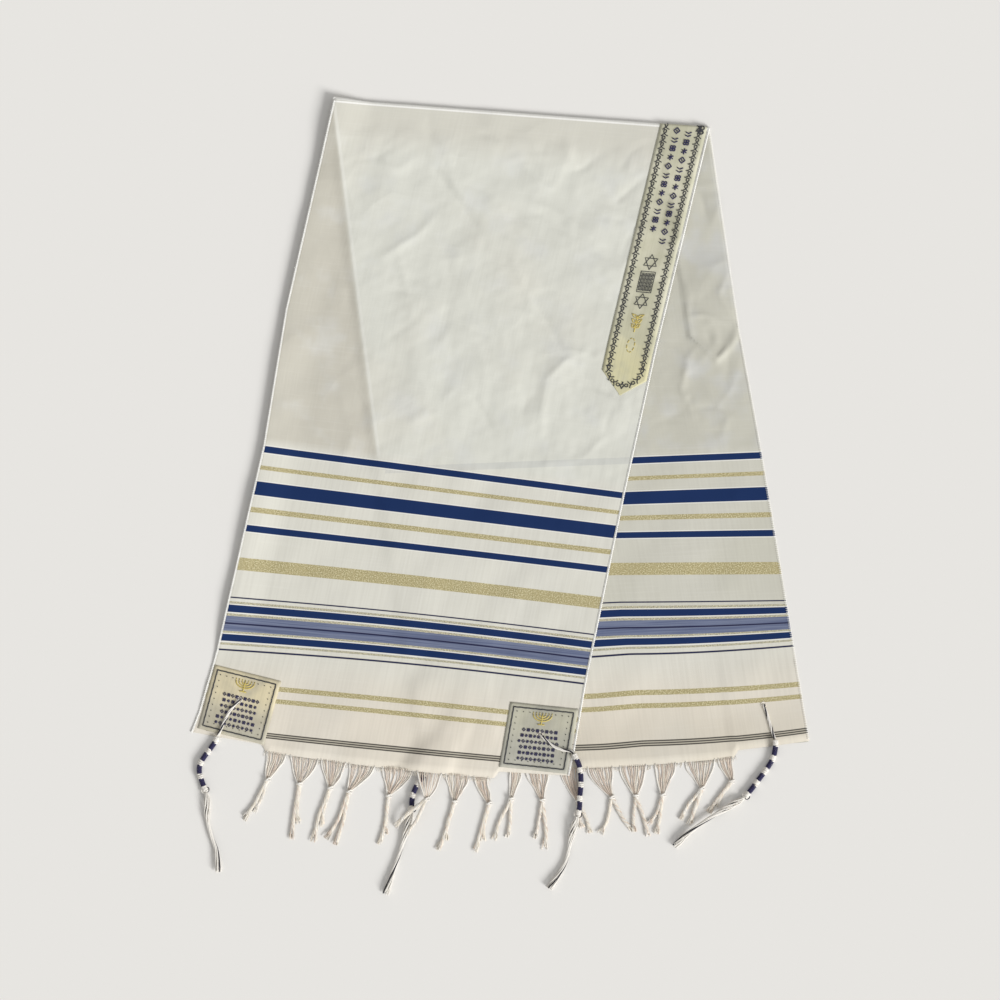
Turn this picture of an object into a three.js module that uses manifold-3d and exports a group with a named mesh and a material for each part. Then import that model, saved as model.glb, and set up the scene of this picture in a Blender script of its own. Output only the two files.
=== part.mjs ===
// A tallit prayer shawl: one long cloth, folded across its length and laid flat.
//
// Millimetres, +Z up. The shawl lies on z = 0 with its fold towards +Y and its fringed ends
// towards -Y. The front leaf is the half that lies on top, the back leaf the half underneath.
// The leaves skew apart a little, so each leaf shows an edge of its own.
import * as THREE from 'three';
import { mergeVertices } from 'three/addons/utils/BufferGeometryUtils.js';
import Module from 'manifold-3d';

const wasm = await Module();
wasm.setup();

// ---------------------------------------------------------------- driving dimensions

const CLOTH_WIDTH = 550;
const CLOTH_WALL = 1;      // woven cloth
const TRIM_WALL = 1;       // satin neckband and corner patches
const SEAM = 0.3;          // gap between pieces that are sewn together
const LEAF_GAP = 0.8;      // air between the two leaves
const FOLD_RADIUS = CLOTH_WALL + LEAF_GAP / 2;
const FOLD_ANGLES = [60, 30, 0, -30, -60];   // degrees round the fold, from above to below

const TRIM_LIFT = TRIM_WALL + SEAM;    // how far a sewn piece underneath raises the cloth
const STEP_RUN = 16;                   // the front leaf comes down to the floor over this width
const STEP_FOOT = 0.6;                 // least share of the floor part that lies before the step
const STEP_EDGE = { least: 0.05, most: 0.9 };   // shares of the width that the step stays within
const SETTLE_RUN = 130;                // the cloth leaves the height of the fold over this length
const HEM_NOTCH = 10;                  // the corners are cut this much shorter than the fringed hem
const NOTCH_SHARE = 0.19;              // width of each corner, as a share of the cloth's width
const NOTCH_BLEND = { before: 0.004, after: 0.008 };

const HOLE_RADIUS = 3;     // eyelet of a corner tassel
const HOLE_SIDES = 12;
const LOOP_DIAMETER = 3;   // strands between the eyelet and the hem
const WINDING_DIAMETER = 8;
const TAIL_DIAMETER = 6;
const ROUND_SIDES = 8;
const CORD_STEPS = { loop: 12, winding: 12, tail: 10 };

const PLACE_PASSES = 12;       // steps in which a place on the cloth is closed in on
const MERGE_DISTANCE = 1e-4;   // points closer than this are one point

// How each leaf lies: the two edges at a few places along the cloth from the fold, and how far
// the middle hangs below the straight line between them. The rows are the fold, the middle of
// the plain part, the first stripe, the last line of the stripes and the hem.
const FRONT_LEAF = {
  rows: [
    { along: 0, leftX: -242, leftY: 550, rightX: 305, rightY: 509, dip: 0 },
    { along: 320, leftX: -311, leftY: 246, rightX: 227, rightY: 188, dip: 0 },
    { along: 525, leftX: -343, leftY: 48, rightX: 181, rightY: -20, dip: 0 },
    { along: 820, leftX: -410, leftY: -248, rightX: 124, rightY: -298, dip: 0 },
    { along: 957, leftX: -447, leftY: -376, rightX: 100, rightY: -439, dip: 10 },
  ],
  // Places along the cloth that have a line of points across.
  sections: [0, 80, 160, 240, 320, 360, 390, 525, 625, 720, 820, 870, 915, 957],
  bottom: frontBottom,
};
const BACK_LEAF = {
  rows: [
    { along: 0, leftX: -242, leftY: 550, rightX: 305, rightY: 509, dip: 0 },
    { along: 308, leftX: -201, leftY: 224, rightX: 346, rightY: 224, dip: 0 },
    { along: 505, leftX: -174, leftY: 17, rightX: 379, rightY: 39, dip: 0 },
    { along: 790, leftX: -129, leftY: -268, rightX: 425, rightY: -243, dip: 0 },
    { along: 937, leftX: -104, leftY: -416, rightX: 447, rightY: -389, dip: 14 },
  ],
  sections: [0, 77, 152, 230, 308, 360, 386, 505, 600, 695, 790, 815, 937],
  bottom: backBottom,
};

// Shares of the width at which the cloth has a line of points. On the front leaf the first list
// runs up to the foot of its step, and the second on from the step's head to the other edge.
const FLOOR_SHARES = [0, 0.31, 0.336, 0.68, 1];
const UPPER_SHARES = [0, 0.12, 0.25, 0.45, 0.52, 0.7, 0.821, 0.858, 1];
const BACK_SHARES = [0, 0.1, 0.19, 0.215, 0.3, 0.4, 0.5, 0.6, 0.7, 0.802, 0.815, 0.835, 0.865, 1];
const BACK_BLEND = 77;     // the back leaf takes its own shares over this length from the fold

// The neckband runs along the right edge and over the fold, to a point at each end.
const BAND_INNER = 0.868;  // shares of the cloth's width
const BAND_OUTER = 0.992;
const BAND_TIP = 0.05;     // width left at the pointed ends, as a share of the band's own
const BAND_REACH = { front: 390, back: 360 };   // from the fold, on each leaf

// The cloth is raised over what is sewn beneath its back leaf, within these limits.
const BURIED_BAND = { fromShare: 0.78, fullShare: 0.862, fullAlong: 360, toAlong: 386 };
const BURIED_PATCH = { fromAlong: 790, fullAlong: 815, fullShare: 0.195, toShare: 0.235 };

// The satin patches are all one size. Each has its middle, the slope of its upper edge and the
// lean of its sides, in degrees. The back ones lie beneath the cloth.
const PATCH_WIDTH = 99;
const PATCH_HEIGHT = 95;
const PATCH_CLEAR = 20;    // a patch clears the highest cloth within this distance
const PATCH_PUNCH = { holeLow: -1, holeHigh: 12 };   // the eyelet's cut, in height
const PATCHES = [
  { name: 'front_left', middle: [-377, -327], slope: -14, lean: -15, divisions: 6 },
  { name: 'front_right', middle: [56, -375], slope: -6, lean: -10, divisions: 6 },
  { name: 'back_left', middle: [-61, -361], slope: -4, lean: 9, divisions: 2 },
  { name: 'back_right', middle: [389, -338], slope: 5, lean: 9, divisions: 2 },
];

// Corner tassels: the eyelet, then the route of each stretch, with heights.
const CORNER_TASSELS = [
  {
    name: 'front_left', hole: [-377, -320], holeLow: -1, holeHigh: 5,
    loop: [[-377, -320, 0.4], [-377, -320, 2.6], [-380, -323.5, 4.2], [-390, -335, 4.2], [-398, -350, 4.1],
      [-404, -364, 4.1], [-408, -372.5, 4.1]],
    winding: [[-409, -374.5, 4.2], [-411.5, -380, 4.2], [-419, -391, 4.2], [-428, -403, 4.2],
      [-434, -415, 4.2], [-434, -427, 4.2], [-430, -439, 4.2], [-425, -452, 4.2]],
    tail: [[-424.7, -452.8, 4], [-423, -470, 3.6], [-423, -489, 3.4], [-418, -513, 3.4], [-410, -536, 3.4],
      [-406, -568, 3.4]],
  },
  {
    name: 'front_right', hole: [58, -370], holeLow: 1.4, holeHigh: 6,
    loop: [[58, -370, 2.2], [58, -370, 4.4], [60.5, -372.5, 6], [67, -378.5, 6], [76, -386, 6],
      [90, -392, 6], [103, -394.5, 6], [106.5, -397.5, 6]],
    winding: [[107, -398.5, 6.8], [110, -405, 6.8], [114, -413, 6.8], [116, -423, 6.8], [117, -436, 6.8],
      [116.5, -448, 6.8], [115, -461, 6.8], [115, -474, 6.8], [112, -487, 6.8]],
    tail: [[111.8, -487.7, 6.4], [108, -500, 6], [103, -516, 4], [94, -555, 3.4], [71, -592, 3.4]],
  },
  {
    name: 'back_right', hole: [381, -327], holeLow: -1, holeHigh: 6,
    loop: [[381, -327, 0.4], [381, -327, 2.6], [382, -330, 4.2], [386, -340, 4.2], [389.5, -352, 4.2],
      [394, -367, 4.2], [397.4, -376.5, 5.4]],
    winding: [[398, -378.5, 7], [398, -386, 7], [397.5, -391, 6.5], [396, -399, 4.7], [391, -411, 4.3],
      [382, -424, 4.3], [373, -436, 4.3], [364, -448, 4.3], [354, -460, 4.3]],
    tail: [[352.6, -461.2, 4.3], [336, -471, 5.4], [315, -483, 6.8], [297, -494, 6.8], [271, -513, 6.4],
      [252, -532, 3.6]],
  },
  {
    name: 'back_left', hole: [-60, -358], holeLow: -1, holeHigh: 2.7,
    loop: [[-60, -358, 0.4], [-60, -358, 2.6], [-62, -361, 4.1], [-68, -371, 4.1], [-77, -385, 4.1],
      [-85, -397, 4.1], [-92, -407, 4.2]],
    winding: [[-93, -408.5, 4.2], [-99, -416, 4.2], [-108, -427, 4.2], [-116, -437, 4.2], [-122, -447, 4.2],
      [-126, -458, 4.2], [-127.5, -470, 4.2], [-127, -480, 4.2]],
    tail: [[-127.3, -481.6, 4], [-131, -493, 3.6], [-136, -511, 3.4], [-144, -538, 3.4], [-150, -555, 3.4],
      [-157, -575, 3.4], [-165, -600, 3.4]],
  },
];

// The windings that lie under the front leaf push it up: by how much, within which distance of
// their line, and over what further distance that fades.
const BURIED_CORD = [
  { from: [-60, -358], to: [-88, -401], height: 7, clear: 26, fade: 30 },
  { from: [-88, -401], to: [-112, -432], height: 8.9, clear: 24, fade: 34 },
];

// Fringe tassels, from left to right: the stretch of hem each is drawn from, how far its knot
// drifts sideways and drops below the hem, and how far its end leans and reaches beyond the knot.
const FRINGE = { drop: 38, spread: 12, thick: 5, lift: 0 };   // where a tassel's row says nothing
const FRONT_FRINGE = [
  { from: -338, to: -308, drift: -13, lean: -36, reach: 58, spread: 16 },
  { from: -304, to: -262, drift: -7, lean: -12, reach: 84 },
  { from: -260, to: -221, drift: -5, lean: -25, reach: 82, spread: 8 },
  { from: -219, to: -180, drift: -19, lean: -36, reach: 71, spread: 8 },
  { from: -171, to: -125, drift: -13, lean: -15, reach: 74, spread: 10 },
  { from: -121, to: -83, drift: -4, lean: -48, reach: 43, spread: 8, thick: 4, lift: 9.2 },
  { from: -80, to: -43, drift: -4, lean: -25, reach: 74 },
  { from: -38, to: -16, drift: 11, lean: -21, reach: 74, spread: 10 },
];
const BACK_FRINGE = [
  { from: 15, to: 31, drift: -7, lean: -17, reach: 72, drop: 43, spread: 10 },
  { from: 36, to: 72, drift: 7, lean: -4, reach: 69, drop: 45 },
  { from: 86, to: 113, drift: 13, lean: 18, reach: 50, drop: 47, spread: 8, thick: 2 },
  { from: 125, to: 164, drift: 17, lean: 14, reach: 57, drop: 43, spread: 10 },
  { from: 171, to: 213, drift: 4, lean: 10, reach: 63, drop: 43 },
  { from: 222, to: 254, drift: -3, lean: -17, reach: 55, drop: 45 },
  { from: 267, to: 312, drift: 2, lean: -23, reach: 49, drop: 40, thick: 3 },
  { from: 315, to: 336, drift: 9, lean: -28, reach: 42, drop: 33, spread: 8, thick: 2.6 },
];
const FRINGE_GAP = 0.2;          // loose threads lie this far off the floor
const FRINGE_SEAM = 3 * SEAM;    // gap between the hem and the first threads
const FRINGE_KNOT_WIDTH = 8;
const FRINGE_DRAWN = { part: 0.5, thick: 1.2 };   // halfway from the hem to the knot
const FRINGE_LOOSE_PART = 0.6;   // how far from knot to end the tassel keeps its height
const FRINGE_END_THICK = 3.2;
const FRINGE_LIFT_KNOT = 0.75;   // share of a tassel's lift that its knot has

const finish = (color, roughness) => new THREE.MeshStandardMaterial({ color, roughness, metalness: 0 });
const CLOTH = finish(0xd8d6c9, 0.9);
const SATIN = finish(0xc9c7a8, 0.5);
const THREAD = finish(0xe6e2d6, 0.9);
const NAVY_THREAD = finish(0x35325a, 0.85);

// ---------------------------------------------------------------- the lie of the cloth

const { lerp, clamp, degToRad } = THREE.MathUtils;
const ramp = (value, from, to) => clamp((value - from) / (to - from), 0, 1);

function rowAt({ rows }, along) {
  const next = rows.findIndex((row, i) => i > 0 && (row.along >= along || i === rows.length - 1));
  const low = rows[next - 1];
  const high = rows[next];
  const part = (along - low.along) / (high.along - low.along);
  return Object.fromEntries(Object.keys(low).map((key) => [key, lerp(low[key], high[key], part)]));
}

const hemOf = (leaf) => leaf.sections.at(-1);

function planPoint(leaf, along, share) {
  const row = rowAt(leaf, along);
  const { before, after } = NOTCH_BLEND;
  const corner = 1 - ramp(Math.min(share, 1 - share), NOTCH_SHARE - before, NOTCH_SHARE + after);
  const notch = HEM_NOTCH * corner * ramp(along, leaf.sections.at(-2), hemOf(leaf));
  const hang = 4 * row.dip * share * (1 - share);
  return {
    x: lerp(row.leftX, row.rightX, share),
    y: lerp(row.leftY, row.rightY, share) - hang + notch,
  };
}

// The place on a leaf, as a length and a share of the width, that lies over a point of the floor.
function placeOn(leaf, x, y) {
  let along = hemOf(leaf) / 2;
  let share = 0.5;
  for (let pass = 0; pass < PLACE_PASSES; pass += 1) {
    const row = rowAt(leaf, along);
    share = (x - row.leftX) / (row.rightX - row.leftX);
    along = clamp(along + planPoint(leaf, along, clamp(share, 0, 1)).y - y, 0, hemOf(leaf));
  }
  return { along, share };
}

// Height of the back leaf's underside, raised over the neckband and patches beneath it.
function backBottom(along, share) {
  const band = ramp(share, BURIED_BAND.fromShare, BURIED_BAND.fullShare)
    * (1 - ramp(along, BURIED_BAND.fullAlong, BURIED_BAND.toAlong));
  const corner = 1 - ramp(Math.min(share, 1 - share), BURIED_PATCH.fullShare, BURIED_PATCH.toShare);
  const patch = corner * ramp(along, BURIED_PATCH.fromAlong, BURIED_PATCH.fullAlong);
  return TRIM_LIFT * Math.max(band, patch);
}

function cordBulge(x, y) {
  const point = new THREE.Vector3(x, y, 0);
  const heights = BURIED_CORD.map((buried) => {
    const ends = [buried.from, buried.to].map((place) => new THREE.Vector3(...place, 0));
    const line = new THREE.Line3(...ends);
    const near = line.closestPointToPoint(point, true, new THREE.Vector3()).distanceTo(point);
    return buried.height * (1 - ramp(near, buried.clear, buried.clear + buried.fade));
  });
  return Math.max(...heights);
}

// Height of the front leaf's underside: on the back leaf, on the floor beside it, or over a cord.
function frontBottom(along, share) {
  const { x, y } = planPoint(FRONT_LEAF, along, share);
  const under = placeOn(BACK_LEAF, x, y);
  const outside = Math.max(0, -under.share * CLOTH_WIDTH);
  const carried = backBottom(under.along, clamp(under.share, 0, 1)) + CLOTH_WALL + LEAF_GAP;
  const step = carried * (1 - ramp(outside, 0, STEP_RUN));
  const fold = (CLOTH_WALL + LEAF_GAP) * (1 - ramp(along, 0, SETTLE_RUN));
  return Math.max(step, fold, cordBulge(x, y));
}

// A point on the outer face of the cloth, moved out from it. A station is a place along the
// cloth: on the front leaf, round the fold (an angle in degrees) or on the back leaf.
function clothPoint(station, share, out) {
  if (station.leaf === 'fold') {
    const { x, y } = planPoint(BACK_LEAF, 0, share);
    const angle = degToRad(station.angle);
    const centre = backBottom(0, share) + FOLD_RADIUS;
    const reach = FOLD_RADIUS + out;
    return new THREE.Vector3(x, y + reach * Math.cos(angle), centre + reach * Math.sin(angle));
  }
  if (station.leaf === 'front') {
    const { x, y } = planPoint(FRONT_LEAF, station.along, share);
    return new THREE.Vector3(x, y, frontBottom(station.along, share) + CLOTH_WALL + out);
  }
  const { x, y } = planPoint(BACK_LEAF, station.along, share);
  return new THREE.Vector3(x, y, backBottom(station.along, share) - out);
}

// Share of the front leaf's width at which the back leaf's left edge lies below it.
function stepShare(along) {
  let share = STEP_EDGE.least;
  for (let pass = 0; pass < PLACE_PASSES; pass += 1) {
    const { x, y } = planPoint(FRONT_LEAF, along, share);
    const edge = planPoint(BACK_LEAF, placeOn(BACK_LEAF, x, y).along, 0);
    const row = rowAt(FRONT_LEAF, along);
    const own = (edge.x - row.leftX) / (row.rightX - row.leftX);
    share = clamp(own, STEP_EDGE.least, STEP_EDGE.most);
  }
  return share;
}

function frontShares(along) {
  const head = stepShare(along);
  const foot = Math.max(head - STEP_RUN / CLOTH_WIDTH, head * STEP_FOOT);
  return [
    ...FLOOR_SHARES.map((part) => part * foot),
    ...UPPER_SHARES.map((part) => head + (1 - head) * part),
  ];
}

function backShares(along) {
  const atFold = frontShares(0);
  const own = ramp(along, 0, BACK_BLEND);
  return BACK_SHARES.map((share, column) => lerp(atFold[column], share, own));
}

// ---------------------------------------------------------------- making solids

// A closed wall between two grids of points, each a list of rows.
function wall(outer, inner) {
  const rows = outer.length;
  const columns = outer[0].length;
  const points = [...outer.flat(), ...inner.flat()];
  const index = (side, row, column) => side * rows * columns + row * columns + column;
  const faces = [];
  const quad = (a, b, c, d) => faces.push(a, b, c, a, c, d);
  for (let row = 0; row < rows - 1; row += 1) {
    for (let column = 0; column < columns - 1; column += 1) {
      for (const side of [0, 1]) {
        const corners = [
          index(side, row, column), index(side, row + 1, column),
          index(side, row + 1, column + 1), index(side, row, column + 1),
        ];
        quad(...(side === 0 ? corners : corners.reverse()));
      }
    }
  }
  for (let row = 0; row < rows - 1; row += 1) {
    quad(index(0, row, 0), index(1, row, 0), index(1, row + 1, 0), index(0, row + 1, 0));
    const last = columns - 1;
    quad(index(0, row + 1, last), index(1, row + 1, last), index(1, row, last), index(0, row, last));
  }
  for (let column = 0; column < columns - 1; column += 1) {
    quad(index(0, 0, column + 1), index(1, 0, column + 1), index(1, 0, column), index(0, 0, column));
    const last = rows - 1;
    const next = column + 1;
    quad(index(0, last, column), index(1, last, column), index(1, last, next), index(0, last, next));
  }
  return closedBody(points, faces);
}

// The body with these points and triangles, turned so that its faces point out.
function closedBody(points, indices) {
  const geometry = new THREE.BufferGeometry();
  const numbers = points.flatMap((point) => point.toArray());
  geometry.setAttribute('position', new THREE.Float32BufferAttribute(numbers, 3));
  geometry.setIndex(indices);
  const at = geometry.attributes.position;
  const faces = geometry.index.array;
  const corner = [new THREE.Vector3(), new THREE.Vector3(), new THREE.Vector3()];
  let volume = 0;
  for (let i = 0; i < faces.length; i += 3) {
    corner.forEach((point, k) => point.fromBufferAttribute(at, faces[i + k]));
    volume += corner[0].dot(corner[1].clone().cross(corner[2]));
  }
  if (volume < 0) geometry.setIndex(Array.from(faces).reverse());
  return geometry;
}

function toManifold(geometry) {
  const bare = geometry.clone();
  bare.deleteAttribute('normal');
  bare.deleteAttribute('uv');
  const merged = mergeVertices(bare, MERGE_DISTANCE);
  return new wasm.Manifold(new wasm.Mesh({
    numProp: 3,
    vertProperties: new Float32Array(merged.attributes.position.array),
    triVerts: new Uint32Array(merged.index.array),
  }));
}

function fromManifold(solid) {
  const mesh = solid.getMesh();
  const geometry = new THREE.BufferGeometry();
  geometry.setAttribute('position', new THREE.Float32BufferAttribute(mesh.vertProperties, 3));
  geometry.setIndex(Array.from(mesh.triVerts));
  return geometry;
}

// The geometry with a round upright hole through it for each eyelet.
function punched(geometry, eyelets) {
  let solid = toManifold(geometry);
  for (const { hole, holeLow, holeHigh } of eyelets) {
    const punch = new THREE.CylinderGeometry(HOLE_RADIUS, HOLE_RADIUS, holeHigh - holeLow, HOLE_SIDES);
    punch.rotateX(Math.PI / 2);
    punch.translate(hole[0], hole[1], (holeHigh + holeLow) / 2);
    solid = solid.subtract(toManifold(punch));
  }
  return fromManifold(solid);
}

// A round cord through the given points.
function cord(points, diameter, steps) {
  const section = new THREE.Shape();
  for (let side = 0; side < ROUND_SIDES; side += 1) {
    const angle = ((side + 0.5) / ROUND_SIDES) * 2 * Math.PI;
    const place = [(diameter / 2) * Math.cos(angle), (diameter / 2) * Math.sin(angle)];
    if (side === 0) section.moveTo(...place);
    else section.lineTo(...place);
  }
  section.closePath();
  const route = points.map((point) => new THREE.Vector3(...point));
  const extrudePath = new THREE.CatmullRomCurve3(route, false, 'centripetal');
  return new THREE.ExtrudeGeometry(section, { steps, extrudePath, bevelEnabled: false });
}

// ---------------------------------------------------------------- the pieces

const part = new THREE.Group();

function add(name, geometry, material) {
  const mesh = new THREE.Mesh(geometry, material);
  mesh.name = name;
  part.add(mesh);
  return mesh;
}

const STATIONS = [
  ...FRONT_LEAF.sections.map((along) => ({ leaf: 'front', along })).reverse(),
  ...FOLD_ANGLES.map((angle) => ({ leaf: 'fold', angle })),
  ...BACK_LEAF.sections.map((along) => ({ leaf: 'back', along })),
];

function clothShares(station) {
  if (station.leaf === 'front') return frontShares(station.along);
  return station.leaf === 'back' ? backShares(station.along) : frontShares(0);
}

function makeShawl() {
  const layer = (out) => STATIONS.map(
    (station) => clothShares(station).map((share) => clothPoint(station, share, out)),
  );
  add('shawl', punched(wall(layer(0), layer(-CLOTH_WALL)), CORNER_TASSELS), CLOTH);
}

// A point over the straight facets between the cloth's own points in one section.
function overCloth(station, share, out) {
  const shares = clothShares(station);
  const next = clamp(shares.findIndex((own) => own >= share), 1, shares.length - 1);
  const part = (share - shares[next - 1]) / (shares[next] - shares[next - 1]);
  return clothPoint(station, shares[next - 1], out).lerp(clothPoint(station, shares[next], out), part);
}

// The neckband follows the cloth's own sections, moved out, and narrows to a point at both ends.
function makeNeckband() {
  const stations = STATIONS.filter(({ leaf, along }) => leaf === 'fold' || along <= BAND_REACH[leaf]);
  const middle = (BAND_INNER + BAND_OUTER) / 2;
  const layer = (out) => stations.map((station) => {
    const atTip = station.leaf !== 'fold' && station.along === BAND_REACH[station.leaf];
    const width = atTip ? BAND_TIP : 1;
    return [BAND_INNER, middle, BAND_OUTER].map(
      (share) => overCloth(station, lerp(middle, share, width), out),
    );
  });
  add('neckband', wall(layer(SEAM + TRIM_WALL), layer(SEAM)), SATIN);
}

// Highest the front leaf stands around a point, so that a patch laid on it clears its facets.
function frontTopAround(x, y) {
  const offsets = [-PATCH_CLEAR, 0, PATCH_CLEAR];
  const heights = offsets.flatMap((dx) => offsets.map((dy) => {
    const { along, share } = placeOn(FRONT_LEAF, x + dx, y + dy);
    return frontBottom(along, share);
  }));
  return Math.max(...heights) + CLOTH_WALL;
}

function makePatch({ name, middle, slope, lean, divisions }) {
  const centre = new THREE.Vector2();
  const rightward = new THREE.Vector2(1, 0).rotateAround(centre, degToRad(slope));
  const downward = new THREE.Vector2(0, -1).rotateAround(centre, degToRad(lean));
  const steps = Array.from({ length: divisions + 1 }, (_, i) => i / divisions - 0.5);
  const onTop = name.startsWith('front');
  const point = (down, across, out) => {
    const at = new THREE.Vector2(...middle)
      .addScaledVector(rightward, across * PATCH_WIDTH)
      .addScaledVector(downward, down * PATCH_HEIGHT);
    const low = onTop ? frontTopAround(at.x, at.y) + SEAM : 0;
    return new THREE.Vector3(at.x, at.y, low + out);
  };
  const layer = (out) => steps.map((down) => steps.map((across) => point(down, across, out)));
  const { hole } = CORNER_TASSELS.find((tassel) => tassel.name === name);
  const eyelet = { hole, ...PATCH_PUNCH };
  add(`patch_${name}`, punched(wall(layer(TRIM_WALL), layer(0)), [eyelet]), SATIN);
}

// A fringe tassel: threads drawn from a stretch of the hem to a knot, then a loose end.
function makeFringeTassel(name, leaf, row) {
  const { from, to, drift, drop, lean, reach, spread, thick, lift } = { ...FRINGE, ...row };
  const hemAt = (x) => {
    const { leftX, rightX } = leaf.rows.at(-1);
    const share = (x - leftX) / (rightX - leftX);
    const { y } = planPoint(leaf, hemOf(leaf), share);
    return new THREE.Vector3(x, y - FRINGE_SEAM, leaf.bottom(hemOf(leaf), share));
  };
  const [left, right] = [hemAt(from), hemAt(to)];
  const knot = left.clone().lerp(right, 0.5).add(new THREE.Vector3(drift, -drop, 0));
  const end = knot.clone().add(new THREE.Vector3(lean, -reach, 0));
  const sideways = new THREE.Vector3(reach, lean, 0).normalize();
  const section = (a, b, low, high) => [
    new THREE.Vector3(a.x, a.y, low), new THREE.Vector3(b.x, b.y, low),
    new THREE.Vector3(b.x, b.y, high), new THREE.Vector3(a.x, a.y, high),
  ];
  const across = (centre, direction, width, low, height) => section(
    centre.clone().addScaledVector(direction, -width / 2),
    centre.clone().addScaledVector(direction, width / 2),
    low,
    low + height,
  );
  const drawn = [left, right].map((point) => point.clone().lerp(knot, FRINGE_DRAWN.part));
  const drawnLow = lift || lerp(knot.z, FRINGE_GAP, FRINGE_DRAWN.part);
  const knotLow = lift * FRINGE_LIFT_KNOT || FRINGE_GAP;
  const loose = knot.clone().lerp(end, FRINGE_LOOSE_PART);
  const level = new THREE.Vector3(1, 0, 0);
  const raised = new THREE.Vector3(0, 0, CLOTH_WALL);
  const sections = [
    [left, right, right.clone().add(raised), left.clone().add(raised)],
    section(...drawn, drawnLow, drawnLow + FRINGE_DRAWN.thick),
    across(knot, level, FRINGE_KNOT_WIDTH, knotLow, thick),
    across(loose, sideways, FRINGE_KNOT_WIDTH, lift || FRINGE_GAP, thick),
    across(end, sideways, spread, FRINGE_GAP, Math.min(thick, FRINGE_END_THICK)),
  ];
  const sides = sections[0].length;
  const last = (sections.length - 1) * sides;
  const faces = [0, 2, 1, 0, 3, 2, last, last + 1, last + 2, last, last + 2, last + 3];
  for (let ring = 0; ring < last; ring += sides) {
    for (let side = 0; side < sides; side += 1) {
      const a = ring + side;
      const b = ring + ((side + 1) % sides);
      faces.push(a, b, b + sides, a, b + sides, a + sides);
    }
  }
  add(name, closedBody(sections.flat(), faces), THREAD);
}

const cords = [];

function makeCornerTassel({ name, loop, winding, tail }) {
  cords.push(
    add(`tzitzit_${name}_loop`, cord(loop, LOOP_DIAMETER, CORD_STEPS.loop), THREAD),
    add(`tzitzit_${name}_winding`, cord(winding, WINDING_DIAMETER, CORD_STEPS.winding), NAVY_THREAD),
    add(`tzitzit_${name}_tail`, cord(tail, TAIL_DIAMETER, CORD_STEPS.tail), THREAD),
  );
}

makeShawl();
makeNeckband();
PATCHES.forEach(makePatch);
FRONT_FRINGE.forEach((row, i) => makeFringeTassel(`fringe_front_${i + 1}`, FRONT_LEAF, row));
BACK_FRINGE.forEach((row, i) => makeFringeTassel(`fringe_back_${i + 1}`, BACK_LEAF, row));
CORNER_TASSELS.forEach(makeCornerTassel);

// The origin is the middle of the underside of all but the corner tassels.
part.updateMatrixWorld(true);
const box = new THREE.Box3();
part.children.filter((mesh) => !cords.includes(mesh)).forEach((mesh) => box.expandByObject(mesh));
const middle = box.getCenter(new THREE.Vector3());
part.position.set(-middle.x, -middle.y, -box.min.z);

export default part;
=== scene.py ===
import logging
import math
import random
from dataclasses import dataclass
from enum import Enum
from typing import Callable, Sequence

import bpy
import numpy as np
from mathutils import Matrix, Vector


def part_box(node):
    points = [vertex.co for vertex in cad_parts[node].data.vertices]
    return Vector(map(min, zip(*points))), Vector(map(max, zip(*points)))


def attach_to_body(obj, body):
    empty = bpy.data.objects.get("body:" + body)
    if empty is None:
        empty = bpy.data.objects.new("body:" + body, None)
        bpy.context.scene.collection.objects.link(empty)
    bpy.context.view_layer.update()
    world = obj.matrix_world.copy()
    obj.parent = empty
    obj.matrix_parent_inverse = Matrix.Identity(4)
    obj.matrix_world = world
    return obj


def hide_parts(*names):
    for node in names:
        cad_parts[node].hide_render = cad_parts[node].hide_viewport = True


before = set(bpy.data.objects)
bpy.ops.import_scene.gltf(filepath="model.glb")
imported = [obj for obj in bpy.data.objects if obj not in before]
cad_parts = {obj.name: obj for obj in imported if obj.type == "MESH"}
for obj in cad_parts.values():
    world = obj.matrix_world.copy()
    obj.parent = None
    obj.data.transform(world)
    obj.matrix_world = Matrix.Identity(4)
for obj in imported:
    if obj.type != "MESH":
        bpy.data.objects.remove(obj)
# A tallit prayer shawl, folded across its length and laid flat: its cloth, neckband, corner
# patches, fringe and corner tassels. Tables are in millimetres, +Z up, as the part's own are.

Array = np.ndarray
Colour = tuple[float, float, float]
LOG = logging.getLogger("shawl")
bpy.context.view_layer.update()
MM = 0.001

# ------------------------------------------------------------------ driving sizes, millimetres

CLOTH_WIDTH = 550.0
CLOTH_THICK = 0.6
TRIM_LIFT = 1.3
FOLD_RADIUS = 1.4
FOLD_ARC = 5.0
FRONT_LIFT = 2.1
STEP_RUN = 16.0
SETTLE_RUN = 130.0
HEM_NOTCH = 10.0
NOTCH_SHARE = 0.19
BAND_INNER, BAND_OUTER = 0.868, 0.992
BAND_FRONT, BAND_BACK = 390.0, 360.0
BAND_SHOULDER, BAND_OUTER_SHOULDER = 33.0, 24.0
PATCH_WIDTH, PATCH_HEIGHT = 99.0, 95.0
TRIM_THICK = 0.6
NOTCH_EASE = (0.004, 0.008)    # shares of the width over which the notch starts and ends
CREASE_DEPTH = 2.1     # makes every crease this much deeper than its own height
CREASE_SPREAD = 0.7    # and this much narrower than its own width
CREASE_FADE = 0.12     # how far through its fade a crease starts and stops
BACK_RISE, BACK_FALL = 1.5, 0.8      # how loosely the back leaf lies, and less so past its creases
FRONT_RISE, FRONT_FALL = 2.2, 1.2    # the same for the front leaf
BAND_SHOWS = 1.25      # how strongly the band beneath shows, against a patch
EDGE_CURL = 6.0        # the front leaf's left edge stands up this much
FOLD_CURL = 3.5        # and its fold this much more than it does of itself
FLOOR_CLEAR = 0.1
FIND_ROUNDS = 12       # steps of the search for a point's place on a leaf


class LeafSide(Enum):
    """The two halves of the folded cloth."""

    FRONT = "front"
    BACK = "back"


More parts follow.
